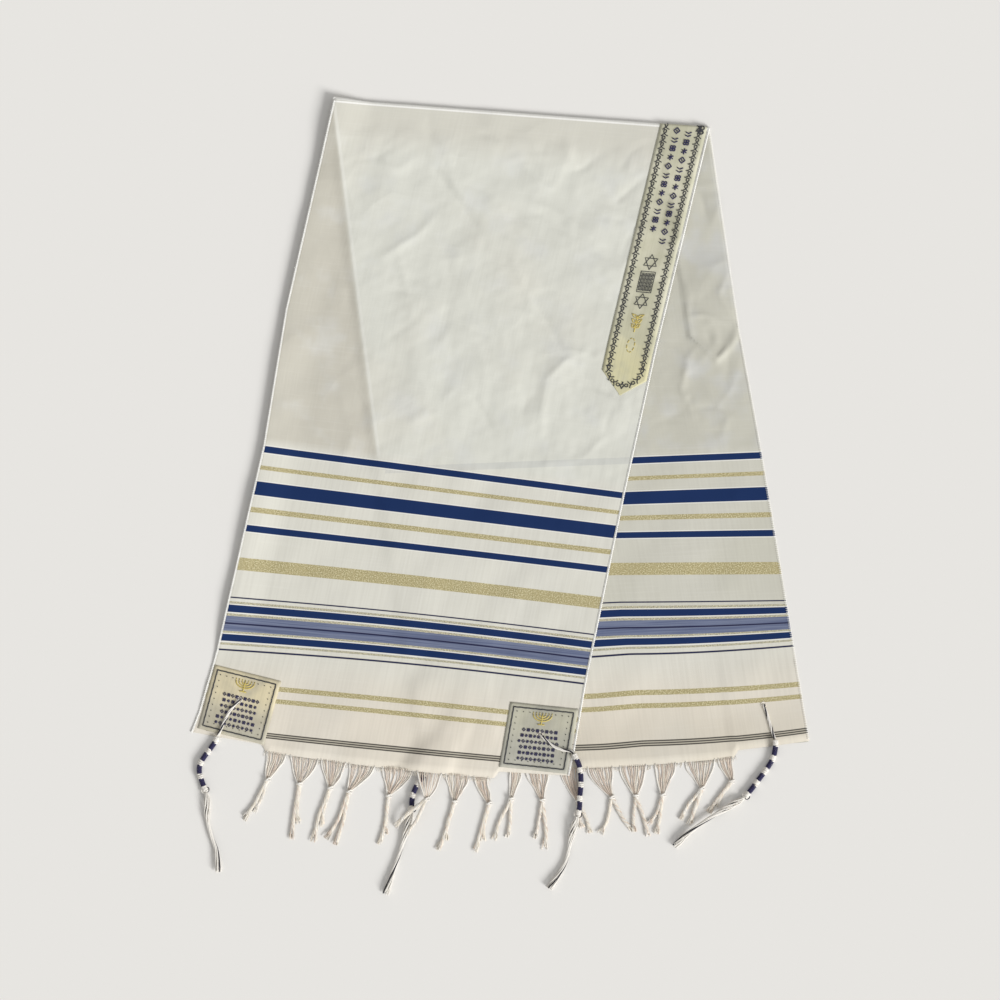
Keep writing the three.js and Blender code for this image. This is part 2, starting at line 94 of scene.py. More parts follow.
@dataclass(frozen=True)
class LeafRow:
    """Where the two edges of a leaf lie at one place along the cloth.

    Args:
        along: Distance from the fold.
        left: Place of the left edge.
        right: Place of the right edge.
        dip: How far the middle hangs below the straight line between the edges.
    """

    along: float
    left: tuple[float, float]
    right: tuple[float, float]
    dip: float = 0.0


def ramp(value: Array, low: float, high: float) -> Array:
    """Rises smoothly from 0 to 1.

    Args:
        value: What the rise follows.
        low: Where it is still 0.
        high: Where it reaches 1.

    Returns:
        The height of the rise at each value.
    """
    share = np.clip((np.asarray(value, float) - low) / (high - low), 0, 1)
    return share * share * (3 - 2 * share)


@dataclass(frozen=True)
class Leaf:
    """One half of the folded cloth, laid out by its rows."""

    side: LeafSide
    rows: tuple[LeafRow, ...]
    first_stripe: float
    notch_from: float

    @property
    def hem(self) -> float:
        """Distance from the fold to the fringed hem."""
        return self.rows[-1].along

    def edges(self, along: Array) -> tuple[Array, ...]:
        """Finds the two edges of the leaf.

        Args:
            along: Distance from the fold.

        Returns:
            Left x, left y, right x, right y and dip at each place.
        """
        at = [row.along for row in self.rows]
        columns = ([r.left[0] for r in self.rows], [r.left[1] for r in self.rows],
                   [r.right[0] for r in self.rows], [r.right[1] for r in self.rows],
                   [r.dip for r in self.rows])
        return tuple(np.interp(along, at, column) for column in columns)

    def notch(self, along: Array, share: Array) -> Array:
        """Finds how far the shorter cut of the corners moves each place up.

        Args:
            along: Distance from the fold.
            share: Share of the width, from the left edge.

        Returns:
            The distance at each place.
        """
        nearer = np.minimum(share, 1 - share)
        corner = 1 - ramp(nearer, NOTCH_SHARE - NOTCH_EASE[0], NOTCH_SHARE + NOTCH_EASE[1])
        past = (along - self.notch_from) / (self.hem - self.notch_from)
        return HEM_NOTCH * corner * np.clip(past, 0, 1)

    def place(self, along: Array, share: Array) -> tuple[Array, Array]:
        """Returns x and y of places on the leaf.

        Args:
            along: Distance from the fold.
            share: Share of the width, from the left edge.

        Returns:
            The x and y of each place.
        """
        left_x, left_y, right_x, right_y, dip = self.edges(along)
        x = left_x + (right_x - left_x) * share
        y = left_y + (right_y - left_y) * share - 4 * dip * share * (1 - share)
        return x, y + self.notch(along, share)

    def find(self, x: Array, y: Array) -> tuple[Array, Array]:
        """Finds where points of the floor plan lie on the leaf.

        Args:
            x: First place of each point.
            y: Second place of each point.

        Returns:
            The distance from the fold, and the share of the width.
        """
        x, y = np.broadcast_arrays(np.asarray(x, float), np.asarray(y, float))
        along = np.full(x.shape, self.hem / 2)
        share = np.full(x.shape, 0.5)
        for _ in range(FIND_ROUNDS):
            left_x, _, right_x, _, _ = self.edges(along)
            share = (x - left_x) / (right_x - left_x)
            _, own_y = self.place(along, np.clip(share, 0, 1))
            along = np.clip(along + own_y - y, 0, self.hem)
        return along, share


FRONT = Leaf(LeafSide.FRONT, (
    LeafRow(0, (-242, 550), (305, 509)),
    LeafRow(320, (-311, 246), (227, 188)),
    LeafRow(525, (-343, 48), (181, -20)),
    LeafRow(820, (-410, -248), (124, -298)),
    LeafRow(957, (-447, -376), (100, -439), 10),
), first_stripe=525, notch_from=915)
BACK = Leaf(LeafSide.BACK, (
    LeafRow(0, (-242, 550), (305, 509)),
    LeafRow(308, (-201, 224), (346, 224)),
    LeafRow(505, (-174, 17), (379, 39)),
    LeafRow(790, (-129, -268), (425, -243)),
    LeafRow(937, (-104, -416), (447, -389), 14),
), first_stripe=505, notch_from=815)

# From the tables' zero to the frame's.
SHIFT = np.array([
    (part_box("shawl")[0].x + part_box("shawl")[1].x) / 2,
    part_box("shawl")[1].y - (FRONT.rows[0].left[1] + FOLD_RADIUS) * MM,
    0.0,
])


# ------------------------------------------------------------------ how the cloth lies

@dataclass(frozen=True)
class Crease:
    """A soft ridge, or a trough where its height is below zero, along a line on the floor plan."""

    line: tuple[tuple[float, float], ...]
    width: float
    height: float

    def relief(self, x: Array, y: Array) -> Array:
        """Finds how much the crease raises the cloth.

        Args:
            x: First place of each point.
            y: Second place of each point.

        Returns:
            The height that it adds at each point.
        """
        total = np.zeros(x.shape)
        count = len(self.line) - 1
        for index in range(count):
            start, end = np.array(self.line[index]), np.array(self.line[index + 1])
            run = end - start
            part = ((x - start[0]) * run[0] + (y - start[1]) * run[1]) / (run @ run)
            near = np.clip(part, 0, 1)
            away = np.hypot(x - start[0] - near * run[0], y - start[1] - near * run[1])
            whole = (index + near) / count
            fade = np.sin(np.pi * np.clip(CREASE_FADE + (1 - 2 * CREASE_FADE) * whole, 0, 1))
            total = np.maximum(total, fade * np.exp(-away / (CREASE_SPREAD * self.width)))
        return self.height * total


FRONT_CREASES = (
    Crease(((47, 390), (80, 372), (118, 345), (136, 331), (169, 313)), 9, -1.5),
    Crease(((52, 402), (88, 386), (124, 360), (150, 340)), 8, 1.3),
    Crease(((-95, 452), (-74, 422), (-56, 399), (-36, 372)), 7, -1.2),
    Crease(((-88, 458), (-66, 426), (-44, 400)), 7, 0.9),
    Crease(((-92, 384), (-118, 357), (-145, 340), (-170, 322)), 8, 1.1),
    Crease(((50, 260), (74, 218), (96, 177)), 5, -0.9),
    Crease(((123, 183), (96, 174), (68, 144), (62, 112), (59, 60)), 9, 1.2),
    Crease(((109, 165), (136, 135), (169, 118)), 7, -1.2),
    Crease(((-44, 126), (-24, 97), (-10, 70)), 7, -0.9),
    Crease(((21, 467), (56, 431), (80, 419)), 8, 1.0),
    Crease(((104, 499), (101, 470), (112, 440), (104, 400)), 9, 0.7),
    Crease(((145, 473), (121, 452), (100, 446)), 7, -0.9),
    Crease(((207, 437), (175, 408), (169, 402), (195, 378)), 9, -1.1),
    Crease(((44, 304), (33, 269), (38, 200)), 14, -0.6),
    Crease(((-27, 505), (-3, 493)), 6, -0.9),
    Crease(((-6, 411), (21, 384), (40, 366)), 7, -1.0),
    Crease(((-89, 360), (-71, 298), (-80, 220), (-60, 150)), 16, -0.5),
    Crease(((118, 301), (163, 257)), 10, 0.9),
    Crease(((-140, 300), (-120, 210), (-128, 120)), 18, 0.5),
    Crease(((0, 330), (-8, 250), (10, 170)), 18, 0.45),
    Crease(((-200, 470), (-150, 450), (-120, 470)), 14, 0.9),
    Crease(((-40, 210), (-20, 160), (-30, 90)), 12, 0.5),
    Crease(((150, 60), (120, 30), (60, 20)), 12, 0.8),
    Crease(((-230, 120), (-215, 60), (-235, 10)), 14, 0.7),
)
BACK_CREASES = (
    Crease(((263, 301), (275, 269), (272, 239), (278, 203), (314, 174)), 5, 0.8),
    Crease(((276, 206), (296, 190), (316, 172), (330, 186), (343, 204)), 4, 0.9),
    Crease(((272, 236), (298, 239), (330, 226)), 5, 1.0),
    Crease(((278, 431), (293, 411), (300, 380)), 7, -1.0),
    Crease(((237, 198), (275, 171), (263, 132), (280, 90)), 7, 1.1),
    Crease(((240, 330), (262, 352), (258, 392)), 7, 0.9),
    Crease(((330, 300), (318, 268), (334, 240)), 7, 0.9),
    Crease(((300, 130), (330, 90), (322, 60)), 10, 0.8),
    Crease(((314, 174), (336, 190), (345, 222)), 5, 1.0),
    Crease(((276, 205), (296, 188), (315, 172)), 4, 1.2),
    Crease(((315, 172), (328, 189), (338, 212)), 4, 0.9),
    Crease(((284, 226), (300, 214), (306, 196)), 5, -0.9),
    Crease(((300, 232), (314, 215), (315, 192)), 5, 0.6),
)


class Ripples:
    """Slow, shallow waves over the whole cloth, the sum of many plane waves."""

    count = 26

    def __init__(self, seed: int, shortest: float, longest: float, height: float) -> None:
        """Draws the waves.

        Args:
            seed: Makes the same waves each time.
            shortest: Shortest wavelength.
            longest: Longest wavelength.
            height: How far the sum typically rises and falls.
        """
        draw = random.Random(seed)
        self.height = height
        self.waves = []
        for _ in range(self.count):
            length = math.exp(draw.uniform(math.log(shortest), math.log(longest)))
            turn = draw.uniform(0, math.pi)
            pace = 2 * math.pi / length
            phase = draw.uniform(0, 2 * math.pi)
            self.waves.append((pace * math.cos(turn), pace * math.sin(turn), phase))

    def relief(self, x: Array, y: Array) -> Array:
        """Returns the height at each point."""
        total = sum(np.sin(a * x + b * y + c) for a, b, c in self.waves)
        return self.height * total / math.sqrt(len(self.waves) / 2)


def scattered_creases(seed: int, count: int, low: Sequence[float],
                      high: Sequence[float]) -> list[Crease]:
    """Strews small creases over a stretch of the floor plan.

    Args:
        seed: Makes the same creases each time.
        count: How many there are.
        low: Lowest x and y.
        high: Highest x and y.

    Returns:
        The creases.
    """
    draw = random.Random(seed)
    creases = []
    for _ in range(count):
        x, y = draw.uniform(low[0], high[0]), draw.uniform(low[1], high[1])
        turn, length = draw.uniform(0, math.pi), draw.uniform(18, 46)
        bend = draw.uniform(-0.6, 0.6)
        middle = (x + length * math.cos(turn), y + length * math.sin(turn))
        end = (middle[0] + length * math.cos(turn + bend), middle[1] + length * math.sin(turn + bend))
        sign = draw.choice((-1, 1))
        creases.append(Crease(((x, y), middle, end), draw.uniform(5, 9), sign * draw.uniform(0.25, 0.7)))
    return creases


class ClothLie:
    """How the whole folded cloth lies: its two faces, creases and what raises it."""

    def __init__(self) -> None:
        """Gathers the creases of both leaves."""
        self.front_creases = [*FRONT_CREASES, *scattered_creases(5, 40, (-240, 60), (190, 500))]
        self.back_creases = [*BACK_CREASES, *scattered_creases(9, 24, (200, 60), (350, 460))]
        self.waves = Ripples(3, 50, 190, 0.34)
        self.fine = Ripples(8, 14, 32, 0.06)

    def back_bottom(self, along: Array, share: Array) -> Array:
        """Finds the height of the back leaf's underside.

        Args:
            along: Distance from the fold.
            share: Share of the width.

        Returns:
            The height at each place.
        """
        middle, half = (BAND_INNER + BAND_OUTER) / 2, (BAND_OUTER - BAND_INNER) / 2
        narrow = half * np.clip((BAND_BACK - along) / BAND_SHOULDER, -0.5, 1)
        beside = (np.abs(share - middle) - narrow) * CLOTH_WIDTH
        band = BAND_SHOWS * (1 - ramp(beside, 0.5, 4.5))
        nearer = np.minimum(share, 1 - share)
        patch = (1 - ramp(nearer, 0.187, 0.21)) * ramp(along, 800, 818)
        x, y = BACK.place(along, share)
        folds = CREASE_DEPTH * sum(crease.relief(x, y) for crease in self.back_creases)
        flat = ramp(along, 0, 60)
        relief = BACK_RISE - BACK_FALL * ramp(along, 500, 700)
        relief = relief + folds + self.waves.relief(x, y) + self.fine.relief(x, y)
        return FLOOR_CLEAR + TRIM_LIFT * np.maximum(band, patch) + np.maximum(relief, 0) * flat

    def under_front(self, x: Array, y: Array) -> tuple[Array, Array]:
        """Finds what lies under points of the front leaf.

        Args:
            x: First place of each point.
            y: Second place of each point.

        Returns:
            How far outside the back leaf each point is, and the back leaf's upper height there.
        """
        along, share = BACK.find(x, y)
        outside = np.maximum(0, -share * CLOTH_WIDTH)
        return outside, self.back_bottom(along, np.clip(share, 0, 1)) + CLOTH_THICK

    def over_cord(self, x: Array, y: Array) -> Array:
        """Finds how far the corner tassel beneath pushes the front leaf up.

        Args:
            x: First place of each point.
            y: Second place of each point.

        Returns:
            The height that it is pushed to.
        """
        height = np.zeros(np.shape(x))
        for start, end, rise, clear, fade in (((-60, -358), (-88, -401), 6.2, 10, 34),
                                              ((-88, -401), (-112, -432), 8.6, 12, 36)):
            run = np.subtract(end, start)
            part = np.clip(((x - start[0]) * run[0] + (y - start[1]) * run[1]) / (run @ run), 0, 1)
            away = np.hypot(x - start[0] - part * run[0], y - start[1] - part * run[1])
            height = np.maximum(height, rise * (1 - ramp(away, clear, clear + fade)))
        return height

    def front_bottom(self, along: Array, share: Array) -> Array:
        """Finds the height of the front leaf's underside.

        Args:
            along: Distance from the fold.
            share: Share of the width.

        Returns:
            The height at each place.
        """
        x, y = FRONT.place(along, share)
        outside, carried = self.under_front(x, y)
        on_back = 1 - ramp(outside, 0, STEP_RUN)
        fold = FRONT_LIFT * (1 - ramp(along, 0, SETTLE_RUN))
        folds = CREASE_DEPTH * sum(crease.relief(x, y) for crease in self.front_creases)
        relief = FRONT_RISE - FRONT_FALL * ramp(along, 560, 760)
        relief = relief + folds + self.waves.relief(y, x) + self.fine.relief(x, y)
        relief = np.maximum(relief, 0) * (0.25 + 0.75 * ramp(along, 4, 50))
        relief += EDGE_CURL * (1 - ramp(share * CLOTH_WIDTH, 0, 60)) * (1 - ramp(along, 740, 850))
        relief += FOLD_CURL * (1 - ramp(along, 0, 110))
        low = FLOOR_CLEAR + (carried - FLOOR_CLEAR + 0.15) * on_back
        return np.maximum(np.maximum(low, fold) + relief, self.over_cord(x, y))

    def face(self, run: Array, share: Array, out: float = 0.0) -> Array:
        """Returns points on the cloth's outer face, moved out from it.

        Args:
            run: Distance along the cloth: above zero on the front leaf, then the fold's arc,
                and past it the back leaf, below zero.
            share: Share of the width.
            out: How far the points stand off the face.

        Returns:
            The points, with x, y and z last.
        """
        run, share, out = np.broadcast_arrays(*(np.asarray(v, float) for v in (run, share, out)))
        front_x, front_y = FRONT.place(np.maximum(run, 0), share)
        back_along = np.maximum(-run - FOLD_ARC, 0)
        back_x, back_y = BACK.place(back_along, share)
        top = self.front_bottom(np.maximum(run, 0), share) + CLOTH_THICK
        bottom = self.back_bottom(back_along, share)
        angle = np.pi * (0.5 + np.clip(run / FOLD_ARC, -1, 0))
        centre, radius = (top + bottom) / 2, (top - bottom) / 2
        arc = (run < 0) & (run > -FOLD_ARC)
        y = np.where(arc, back_y + (radius + out) * np.cos(angle), np.where(run >= 0, front_y, back_y))
        level = np.where(run >= 0, top + out, bottom - out)
        z = np.where(arc, centre + (radius + out) * np.sin(angle), level)
        return np.stack([np.where(run >= 0, front_x, back_x), y, z], axis=-1)

    def front_top(self, x: Array, y: Array) -> Array:
        """Returns the height of the front leaf's upper face over points of the floor."""
        along, share = FRONT.find(x, y)
        return self.front_bottom(along, np.clip(share, 0, 1)) + CLOTH_THICK


LIE = ClothLie()


# ------------------------------------------------------------------ meshes

def place_in_frame(points: Array) -> Array:
    """Returns millimetre points as metres in the shared frame."""
    return np.asarray(points, float) * MM + SHIFT


def make_object(name: str, points: Array, faces: list, corner_uv: Array,
                slots: Sequence[int] = ()) -> bpy.types.Object:
    """Makes a smooth mesh object.

    Args:
        name: The piece's name.
        points: Points in millimetres.
        faces: Lists of point numbers.
        corner_uv: A place in the piece's own map for each corner of each face, in turn.
        slots: The material slot of each face.

    Returns:
        The new object, at the origin.
    """
    mesh = bpy.data.meshes.new(name)
    mesh.from_pydata(place_in_frame(points).tolist(), [], faces)
    layer = mesh.uv_layers.new(name="cloth_map")
    layer.data.foreach_set("uv", np.asarray(corner_uv, np.float32).ravel())
    if len(slots):
        mesh.polygons.foreach_set("material_index", np.asarray(slots, np.int32))
    mesh.polygons.foreach_set("use_smooth", np.ones(len(mesh.polygons), bool))
    mesh.update()
    piece = bpy.data.objects.new(name, mesh)
    bpy.context.scene.collection.objects.link(piece)
    return piece


def make_shell(name: str, outer: Array, inner: Array, flat: Array) -> bpy.types.Object:
    """Makes a closed thin wall between two grids of points.

    Args:
        name: The piece's name.
        outer: Grid of points on the outer face.
        inner: Grid of points on the inner face.
        flat: The same grid laid flat in metres, used as the map.

    Returns:
        The new object.
    """
    rows, columns = outer.shape[:2]
    count = rows * columns
    points = np.concatenate([outer.reshape(-1, 3), inner.reshape(-1, 3)])
    index = np.arange(count).reshape(rows, columns)
    a, b, c, d = index[:-1, :-1], index[:-1, 1:], index[1:, 1:], index[1:, :-1]
    upper = np.stack([a, b, c, d], axis=-1).reshape(-1, 4)
    rim = np.concatenate([index[0, :], index[1:, -1], index[-1, -2::-1], index[-2:0:-1, 0]])
    after = np.roll(rim, -1)
    sides = np.stack([rim, rim + count, after + count, after], axis=-1)
    faces = np.concatenate([upper, upper[:, ::-1] + count, sides])
    first = outer[1, 0] - outer[0, 0]
    second = outer[0, 1] - outer[0, 0]
    if np.cross(second, first) @ (outer[0, 0] - inner[0, 0]) < 0:
        faces = faces[:, ::-1]
    places = np.concatenate([flat.reshape(-1, 2), flat.reshape(-1, 2)])
    return make_object(name, points, faces.tolist(), places[faces])


def travelling_frame(path: Array) -> tuple[Array, Array, Array]:
    """Finds three square directions at each point of a path, without twist.

    Args:
        path: Points in order.

    Returns:
        The direction ahead and the two across it.
    """
    ahead = np.gradient(path, axis=0)
    ahead /= np.maximum(np.linalg.norm(ahead, axis=1, keepdims=True), 1e-9)
    seed = np.array([0.0, 0.0, 1.0]) if abs(ahead[0, 2]) < 0.9 else np.array([1.0, 0.0, 0.0])
    first = np.empty_like(path)
    for index, direction in enumerate(ahead):
        seed = seed - (seed @ direction) * direction
        seed = seed / max(np.linalg.norm(seed), 1e-9)
        first[index] = seed
    return ahead, first, np.cross(ahead, first)


def between(at: Array, a: Array, b: Array, low: float, high: float) -> Array:
    """Returns the points on the way from a, at low, to b, at high."""
    return ((high - at) * a + (at - low) * b) / (high - low)


def smooth_route(points: Sequence[Sequence[float]], step: float = 2.0) -> Array:
    """Draws a smooth curve through points.

    Args:
        points: What it passes through.
        step: How far apart its own points are.

    Returns:
        Evenly spaced points on the curve.
    """
    known = np.array(points, float)
    known = np.vstack([2 * known[0] - known[1], known, 2 * known[-1] - known[-2]])
    spacing = np.sqrt(np.linalg.norm(np.diff(known, axis=0), axis=1))
    t = np.concatenate([[0], np.cumsum(np.maximum(spacing, 1e-6))])
    found = []
    for i in range(1, len(known) - 2):
        at = np.linspace(t[i], t[i + 1], 24, endpoint=False)[:, None]
        near = [between(at, known[k], known[k + 1], t[k], t[k + 1]) for k in (i - 1, i, i + 1)]
        first = between(at, near[0], near[1], t[i - 1], t[i + 1])
        second = between(at, near[1], near[2], t[i], t[i + 2])
        found.append(between(at, first, second, t[i], t[i + 1]))
    dense = np.vstack([*found, known[-2]])
    length = np.concatenate([[0], np.cumsum(np.linalg.norm(np.diff(dense, axis=0), axis=1))])
    even = np.linspace(0, length[-1], max(3, int(round(length[-1] / step)) + 1))
    return np.stack([np.interp(even, length, dense[:, k]) for k in range(3)], axis=1)


def length_of(path: Array) -> float:
    """Returns the length of a path."""
    return float(np.linalg.norm(np.diff(path, axis=0), axis=1).sum())


class Threads:
    """Many threads that make one piece, each a closed round strand."""

    def __init__(self, name: str) -> None:
        """Starts with no threads.

        Args:
            name: The piece's name.
        """
        self.name = name
        self.points: list[Array] = []
        self.faces: list = []
        self.maps: list[Array] = []
        self.slots: list[int] = []
        self.count = 0

    def add(self, path: Array, radius: float | Array, sides: int = 5, slot: int = 0) -> None:
        """Adds a thread.

        Args:
            path: Its centreline.
            radius: One radius, or one for each point.
            sides: Sides of its section.
            slot: Which of the piece's materials it has.
        """
        path = np.asarray(path, float)
        _, first, second = travelling_frame(path)
        radii = np.broadcast_to(np.asarray(radius, float), (len(path),))[:, None, None]
        turn = np.linspace(0, 2 * np.pi, sides, endpoint=False)
        ring = np.cos(turn)[None, :, None] * first[:, None] + np.sin(turn)[None, :, None] * second[:, None]
        around = path[:, None] + radii * ring
        around[..., 2] = np.maximum(around[..., 2], FLOOR_CLEAR)
        length = np.concatenate([[0], np.cumsum(np.linalg.norm(np.diff(path, axis=0), axis=1))]) * MM
        base = self.count
        for row in range(len(path) - 1):
            for side in range(sides):
                after = (side + 1) % sides
                low, high = base + row * sides, base + (row + 1) * sides
                self.faces.append((low + side, low + after, high + after, high + side))
                u, v = side / sides, (side + 1) / sides
                start, stop = length[row], length[row + 1]
                self.maps.append(((u, start), (v, start), (v, stop), (u, stop)))
        last = base + (len(path) - 1) * sides
        self.faces.append(tuple(base + side for side in reversed(range(sides))))
        self.faces.append(tuple(last + side for side in range(sides)))
        self.maps.append(tuple((0.0, 0.0) for _ in range(sides)))
        self.maps.append(tuple((0.0, length[-1]) for _ in range(sides)))
        self.slots += [slot] * ((len(path) - 1) * sides + 2)
        self.points.append(around.reshape(-1, 3))
        self.count += len(path) * sides

    def build(self, materials: Sequence[bpy.types.Material]) -> bpy.types.Object:
        """Makes the piece and gives it its materials.

        Args:
            materials: Its materials, in the order of their slots.

        Returns:
            The piece.
        """
        uv = np.array([place for corners in self.maps for place in corners], np.float32)
        piece = make_object(self.name, np.concatenate(self.points), self.faces, uv, self.slots)
        for material in materials:
            piece.data.materials.append(material)
        return piece


class Stitches:
    """Stitches drawn in a flat plan and then laid on a surface all at once."""

    def __init__(self) -> None:
        """Starts with no stitches."""
        self.rows: list[tuple[Array, float, int]] = []

    def line(self, points: Sequence[tuple[float, float]], radius: float, slot: int = 0,
             step: float = 3.0) -> None:
        """Adds a stitched line.

        Args:
            points: Points of the plan that it passes through.
            radius: Radius of its thread.
            slot: Which of the piece's materials it has.
            step: Longest stretch between two of its own points.
        """
        corners = np.array(points, float)
        pieces = [corners[:1]]
        for start, end in zip(corners[:-1], corners[1:]):
            count = max(1, int(math.ceil(np.linalg.norm(end - start) / step)))
            part = np.linspace(0, 1, count + 1)[1:, None]
            pieces.append(start + (end - start) * part)
        self.rows.append((np.concatenate(pieces), radius, slot))

    def oval(self, centre: tuple[float, float], width: float, height: float, radius: float,
             slot: int = 0, start: float = 0.0, end: float = 360.0) -> None:
        """Adds a stitched arc of an oval.

        Args:
            centre: The oval's middle on the plan.
            width: Its first width.
            height: Its second width.
            radius: Radius of its thread.
            slot: Which of the piece's materials it has.
            start: Angle of the arc's start, in degrees.
            end: Angle of its end.
        """
        angle = np.radians(np.linspace(start, end, max(4, int(abs(end - start) / 20))))
        x = centre[0] + width / 2 * np.cos(angle)
        y = centre[1] + height / 2 * np.sin(angle)
        self.rows.append((np.stack([x, y], axis=1), radius, slot))

    def lay(self, threads: Threads, surface: Callable[[Array, Array, Array], Array], sides: int = 5) -> None:
        """Lays every stitch on a surface.

        Args:
            threads: The piece that the stitches become part of.
            surface: Gives points from the plan's two places and a height over the surface.
            sides: Sides of each thread's section.
        """
        plan = np.concatenate([row[0] for row in self.rows])
        radii = np.concatenate([np.full(len(row[0]), row[1]) for row in self.rows])
        laid = surface(plan[:, 0], plan[:, 1], radii * 0.6)
        start = 0
        for points, radius, slot in self.rows:
            threads.add(laid[start:start + len(points)], radius, sides, slot)
            start += len(points)


# ------------------------------------------------------------------ shading

def tone(code: str) -> Colour:
    """Reads a colour.

    Args:
        code: Its hex code.

    Returns:
        The linear colour.
    """
    values = [int(code[i:i + 2], 16) / 255 for i in (1, 3, 5)]
    return tuple(v / 12.92 if v <= 0.04045 else ((v + 0.055) / 1.055) ** 2.4 for v in values)


class Nodes:
    """Short calls to wire up a node tree."""

    def __init__(self, tree: bpy.types.NodeTree) -> None:
        """Takes the tree that the nodes are added to."""
        self.tree = tree

    def add(self, kind: str, inputs: dict | None = None, **settings: object) -> bpy.types.Node:
        """Adds a node.

        Args:
            kind: The node's type name, without its first word.
            inputs: Values or sockets, by the input's name or number.
            settings: The node's own settings.

        Returns:
            The new node.
        """
        node = self.tree.nodes.new("ShaderNode" + kind)
        for name, value in settings.items():
            setattr(node, name, value)
        for key, value in (inputs or {}).items():
            if isinstance(value, bpy.types.NodeSocket):
                self.tree.links.new(value, node.inputs[key])
            elif isinstance(value, tuple) and node.inputs[key].type == "RGBA":
                node.inputs[key].default_value = (*value, 1.0)
            else:
                node.inputs[key].default_value = value
        return node

    def math(self, operation: str, *values: object, clamp: bool = False) -> bpy.types.NodeSocket:
        """Returns the result of a sum on sockets or numbers."""
        node = self.add("Math", dict(enumerate(values)), operation=operation, use_clamp=clamp)
        return node.outputs[0]

    def blend(self, share: object, first: object, second: object) -> bpy.types.NodeSocket:
        """Returns first turned towards second by a share."""
        node = self.add("Mix", {"Factor": share, 6: first, 7: second}, data_type="RGBA")
        return node.outputs[2]

    def rise(self, value: object, low: float, high: float, start: float = 0.0,
             end: float = 1.0) -> bpy.types.NodeSocket:
        """Returns a smooth rise from start to end as value goes from low to high."""
        inputs = {"Value": value, "From Min": low, "From Max": high, "To Min": start, "To Max": end}
        return self.add("MapRange", inputs, interpolation_type="SMOOTHSTEP").outputs[0]

    def noise(self, place: object, scale: float, detail: float = 3.0) -> bpy.types.NodeSocket:
        """Returns a cloudy value from 0 to 1."""
        return self.add("TexNoise", {"Vector": place, "Scale": scale, "Detail": detail}).outputs["Fac"]

    def stretched(self, place: object, x: float, y: float) -> bpy.types.NodeSocket:
        """Returns a place with its two directions scaled apart."""
        node = self.add("VectorMath", {0: place, 1: (x, y, 1.0)}, operation="MULTIPLY")
        return node.outputs[0]


def new_group(name: str, inputs: dict[str, str],
              outputs: Sequence[str]) -> tuple[Nodes, dict, bpy.types.Node]:
    """Starts a shader node group.

    Args:
        name: The group's name.
        inputs: The kind of each input, by its name.
        outputs: The names of its number outputs.

    Returns:
        The group's nodes, its inputs by name, and its output node.
    """
    tree = bpy.data.node_groups.new(name, "ShaderNodeTree")
    for key, kind in inputs.items():
        tree.interface.new_socket(key, in_out="INPUT", socket_type=kind)
    for key in outputs:
        tree.interface.new_socket(key, in_out="OUTPUT", socket_type="NodeSocketFloat")
    start = tree.nodes.new("NodeGroupInput")
    end = tree.nodes.new("NodeGroupOutput")
    return Nodes(tree), {key: start.outputs[key] for key in inputs}, end


def make_weave_group() -> bpy.types.NodeTree:
    """Returns the plain weave: crossing threads, and the unevenness of warp and weft."""
    n, given, end = new_group("plain_weave", {"Map": "NodeSocketVector", "Threads": "NodeSocketFloat"},
                              ("Height", "Warp", "Weft"))
    parts = n.add("SeparateXYZ", {0: given["Map"]})
    pace = n.math("MULTIPLY", given["Threads"], math.pi)
    across = n.math("SINE", n.math("MULTIPLY", parts.outputs["X"], pace))
    along = n.math("SINE", n.math("MULTIPLY", parts.outputs["Y"], pace))
    height = n.math("MULTIPLY_ADD", n.math("MULTIPLY", across, along), 0.5, 0.5)
    n.tree.links.new(height, end.inputs["Height"])
    n.tree.links.new(n.noise(n.stretched(given["Map"], 300.0, 9.0), 1.0, 2.0), end.inputs["Warp"])
    n.tree.links.new(n.noise(n.stretched(given["Map"], 8.0, 420.0), 1.0, 2.0), end.inputs["Weft"])
    return n.tree


def make_stripe_group() -> bpy.types.NodeTree:
    """Returns the mask of one woven stripe."""
    kinds = {"Place": "NodeSocketFloat", "Start": "NodeSocketFloat", "Stop": "NodeSocketFloat"}
    n, given, end = new_group("woven_stripe", kinds, ("Mask",))
    soft = 0.0003
    masks = []
    for edge in ("Start", "Stop"):
        low = n.math("SUBTRACT", given[edge], soft)
        high = n.math("ADD", given[edge], soft)
        inputs = {"Value": given["Place"], "From Min": low, "From Max": high}
        masks.append(n.add("MapRange", inputs).outputs[0])
    n.tree.links.new(n.math("SUBTRACT", masks[0], masks[1], clamp=True), end.inputs["Mask"])
    return n.tree


def make_painted_glint_group() -> bpy.types.NodeTree:
    """Returns the painted glints of metal yarn: a bright mask and a dark one, painted into the colour in
    place of real sparkle.
    """
    n, given, end = new_group("metal_yarn_painted_glints", {"Map": "NodeSocketVector"}, ("Bright", "Dark"))
    fine = n.noise(n.stretched(given["Map"], 560.0, 700.0), 1.0, 1.0)
    n.tree.links.new(n.rise(fine, 0.5, 0.66), end.inputs["Bright"])
    n.tree.links.new(n.rise(fine, 0.48, 0.34), end.inputs["Dark"])
    return n.tree


def make_twist_group() -> bpy.types.NodeTree:
    """Returns the height of a twisted yarn."""
    kinds = {"Map": "NodeSocketVector", "Plies": "NodeSocketFloat", "Turns": "NodeSocketFloat"}
    n, given, end = new_group("yarn_twist", kinds, ("Height",))
    parts = n.add("SeparateXYZ", {0: given["Map"]})
    around = n.math("MULTIPLY", n.math("MULTIPLY", parts.outputs["X"], given["Plies"]), 2 * math.pi)
    along = n.math("MULTIPLY", n.math("MULTIPLY", parts.outputs["Y"], given["Turns"]), 2 * math.pi)
    height = n.math("MULTIPLY_ADD", n.math("SINE", n.math("ADD", around, along)), 0.5, 0.5)
    n.tree.links.new(height, end.inputs["Height"])
    return n.tree


